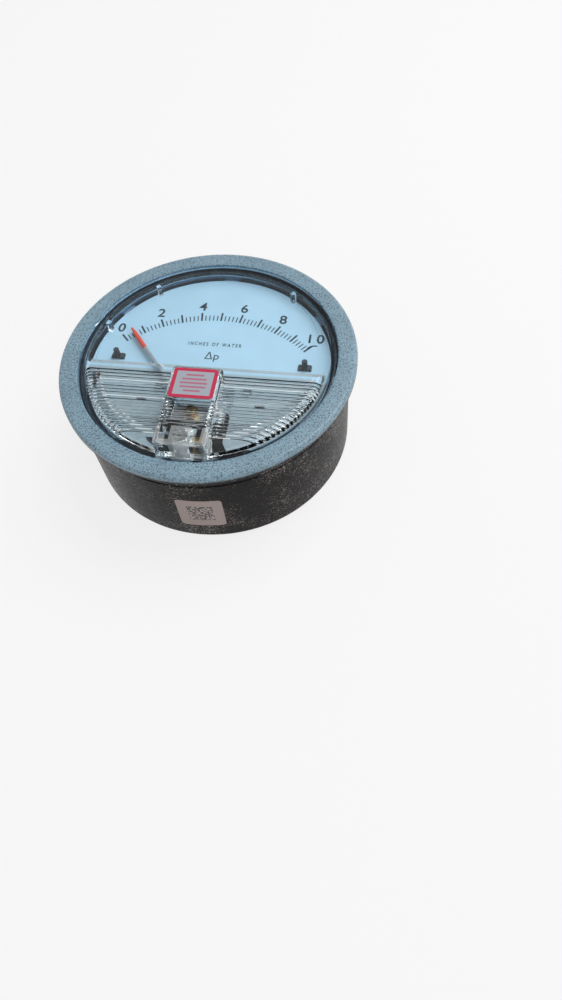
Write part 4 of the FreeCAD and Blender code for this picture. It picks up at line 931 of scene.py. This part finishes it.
class GAUGE_OT_stage(Operator):
    """Set the floor, the lamps and the camera"""
    bl_idname = "gauge.stage"
    bl_label = "Set stage"

    def execute(self, context):
        stage = context.scene.gauge_stage
        colours = context.scene.gauge_colours
        scene = context.scene
        scene.view_settings.view_transform = "Standard"

        bm = bmesh.new()
        corners = [bm.verts.new((x, 0, z - FLOOR_GAP)) for x, z in FLOOR_PROFILE]
        edges = [bm.edges.new(pair) for pair in zip(corners, corners[1:])]
        bmesh.ops.spin(
            bm, geom=corners + edges, cent=(0, 0, 0), axis=(0, 0, 1), angle=2 * math.pi, steps=64,
            use_merge=True)
        bmesh.ops.remove_doubles(bm, verts=bm.verts, dist=WELD)
        bmesh.ops.recalc_face_normals(bm, faces=bm.faces)
        mesh = bpy.data.meshes.new("floor")
        bm.to_mesh(mesh)
        bm.free()
        floor = bpy.data.objects.new("floor", mesh)
        scene.collection.objects.link(floor)
        material, tree = new_material("pale_floor")
        path = add_node(tree, "ShaderNodeLightPath")
        seen = add_node(
            tree, "ShaderNodeMath", {0: path.outputs["Is Camera Ray"], 1: path.outputs["Is Glossy Ray"]},
            operation="MAXIMUM")
        shown = add_node(
            tree, "ShaderNodeMath", {0: seen, 1: path.outputs["Is Transmission Ray"]}, operation="MAXIMUM")
        share = add_node(tree, "ShaderNodeMath", {0: shown, 1: stage.floor_glow}, operation="MULTIPLY")
        ground = add_node(tree, "ShaderNodeBsdfDiffuse", {"Color": rgba(colours.floor)})
        white = add_node(tree, "ShaderNodeEmission", {"Strength": 1.0})
        mixed = add_node(tree, "ShaderNodeMixShader", {0: share, 1: ground, 2: white})
        add_node(tree, "ShaderNodeOutputMaterial", {"Surface": mixed})
        mesh.materials.append(material)

        world = scene.world or bpy.data.worlds.new("sky")
        scene.world = world
        world.use_nodes = True
        world.node_tree.nodes.clear()
        sky = add_node(
            world.node_tree, "ShaderNodeBackground", {"Color": (1, 1, 1, 1), "Strength": stage.sky})
        add_node(world.node_tree, "ShaderNodeOutputWorld", {"Surface": sky})

        lamps = (   # name, power, side, place
            ("overhead", stage.lamp_power, stage.lamp_size, Vector((0.4, 0.35, 0.95))),
            ("front", stage.fill_power, stage.fill_size, Vector((0.6, -0.7, 0.6))),
        )
        for name, power, size, place in lamps:
            light = bpy.data.lights.new(name, "AREA")
            light.energy = power
            light.size = size
            lamp = bpy.data.objects.new(name, light)
            lamp.location = place
            lamp.rotation_euler = (-place).to_track_quat("-Z", "Y").to_euler()
            scene.collection.objects.link(lamp)

        camera = bpy.data.objects.new("camera", bpy.data.cameras.new("camera"))
        camera.data.sensor_width = 36.0
        camera.data.lens = stage.lens
        camera.data.clip_start = 0.01
        camera.location = stage.camera_place
        camera.rotation_euler = Euler(stage.camera_turn)
        scene.collection.objects.link(camera)
        scene.camera = camera
        return {"FINISHED"}


class GAUGE_PT_panel(Panel):
    """Buttons for the pieces of the gauge"""
    bl_idname = "GAUGE_PT_panel"
    bl_label = "Pressure gauge"
    bl_space_type = "VIEW_3D"
    bl_region_type = "UI"
    bl_category = "Gauge"

    def draw(self, context):
        for operator in STEPS:
            self.layout.operator(operator.bl_idname)


GROUPS = {
    "gauge_colours": GaugeColours,
    "gauge_scale": GaugeScale,
    "gauge_labels": GaugeLabels,
    "gauge_stage": GaugeStage,
}
STEPS = (
    GAUGE_OT_castings,
    GAUGE_OT_cover,
    GAUGE_OT_dial,
    GAUGE_OT_movement,
    GAUGE_OT_flexing_parts,
    GAUGE_OT_brass_plate,
    GAUGE_OT_scale_marks,
    GAUGE_OT_numerals,
    GAUGE_OT_spine_label,
    GAUGE_OT_case_sticker,
    GAUGE_OT_port_threads,
    GAUGE_OT_stage,
)


def register():
    for name, group in GROUPS.items():
        bpy.utils.register_class(group)
        setattr(bpy.types.Scene, name, PointerProperty(type=group))
    for operator in STEPS:
        bpy.utils.register_class(operator)
    bpy.utils.register_class(GAUGE_PT_panel)


def unregister():
    bpy.utils.unregister_class(GAUGE_PT_panel)
    for operator in reversed(STEPS):
        bpy.utils.unregister_class(operator)
    for name, group in GROUPS.items():
        delattr(bpy.types.Scene, name)
        bpy.utils.unregister_class(group)


def main():
    """Run every step."""
    register()
    mine = set(frame["nodes"].values()) | set(frame["bodies"].values())
    for other in [item for item in bpy.data.objects if item not in mine]:
        bpy.data.objects.remove(other)
    for operator in STEPS:
        group, name = operator.bl_idname.split(".")
        getattr(getattr(bpy.ops, group), name)()


if __name__ == "__main__":
    main()
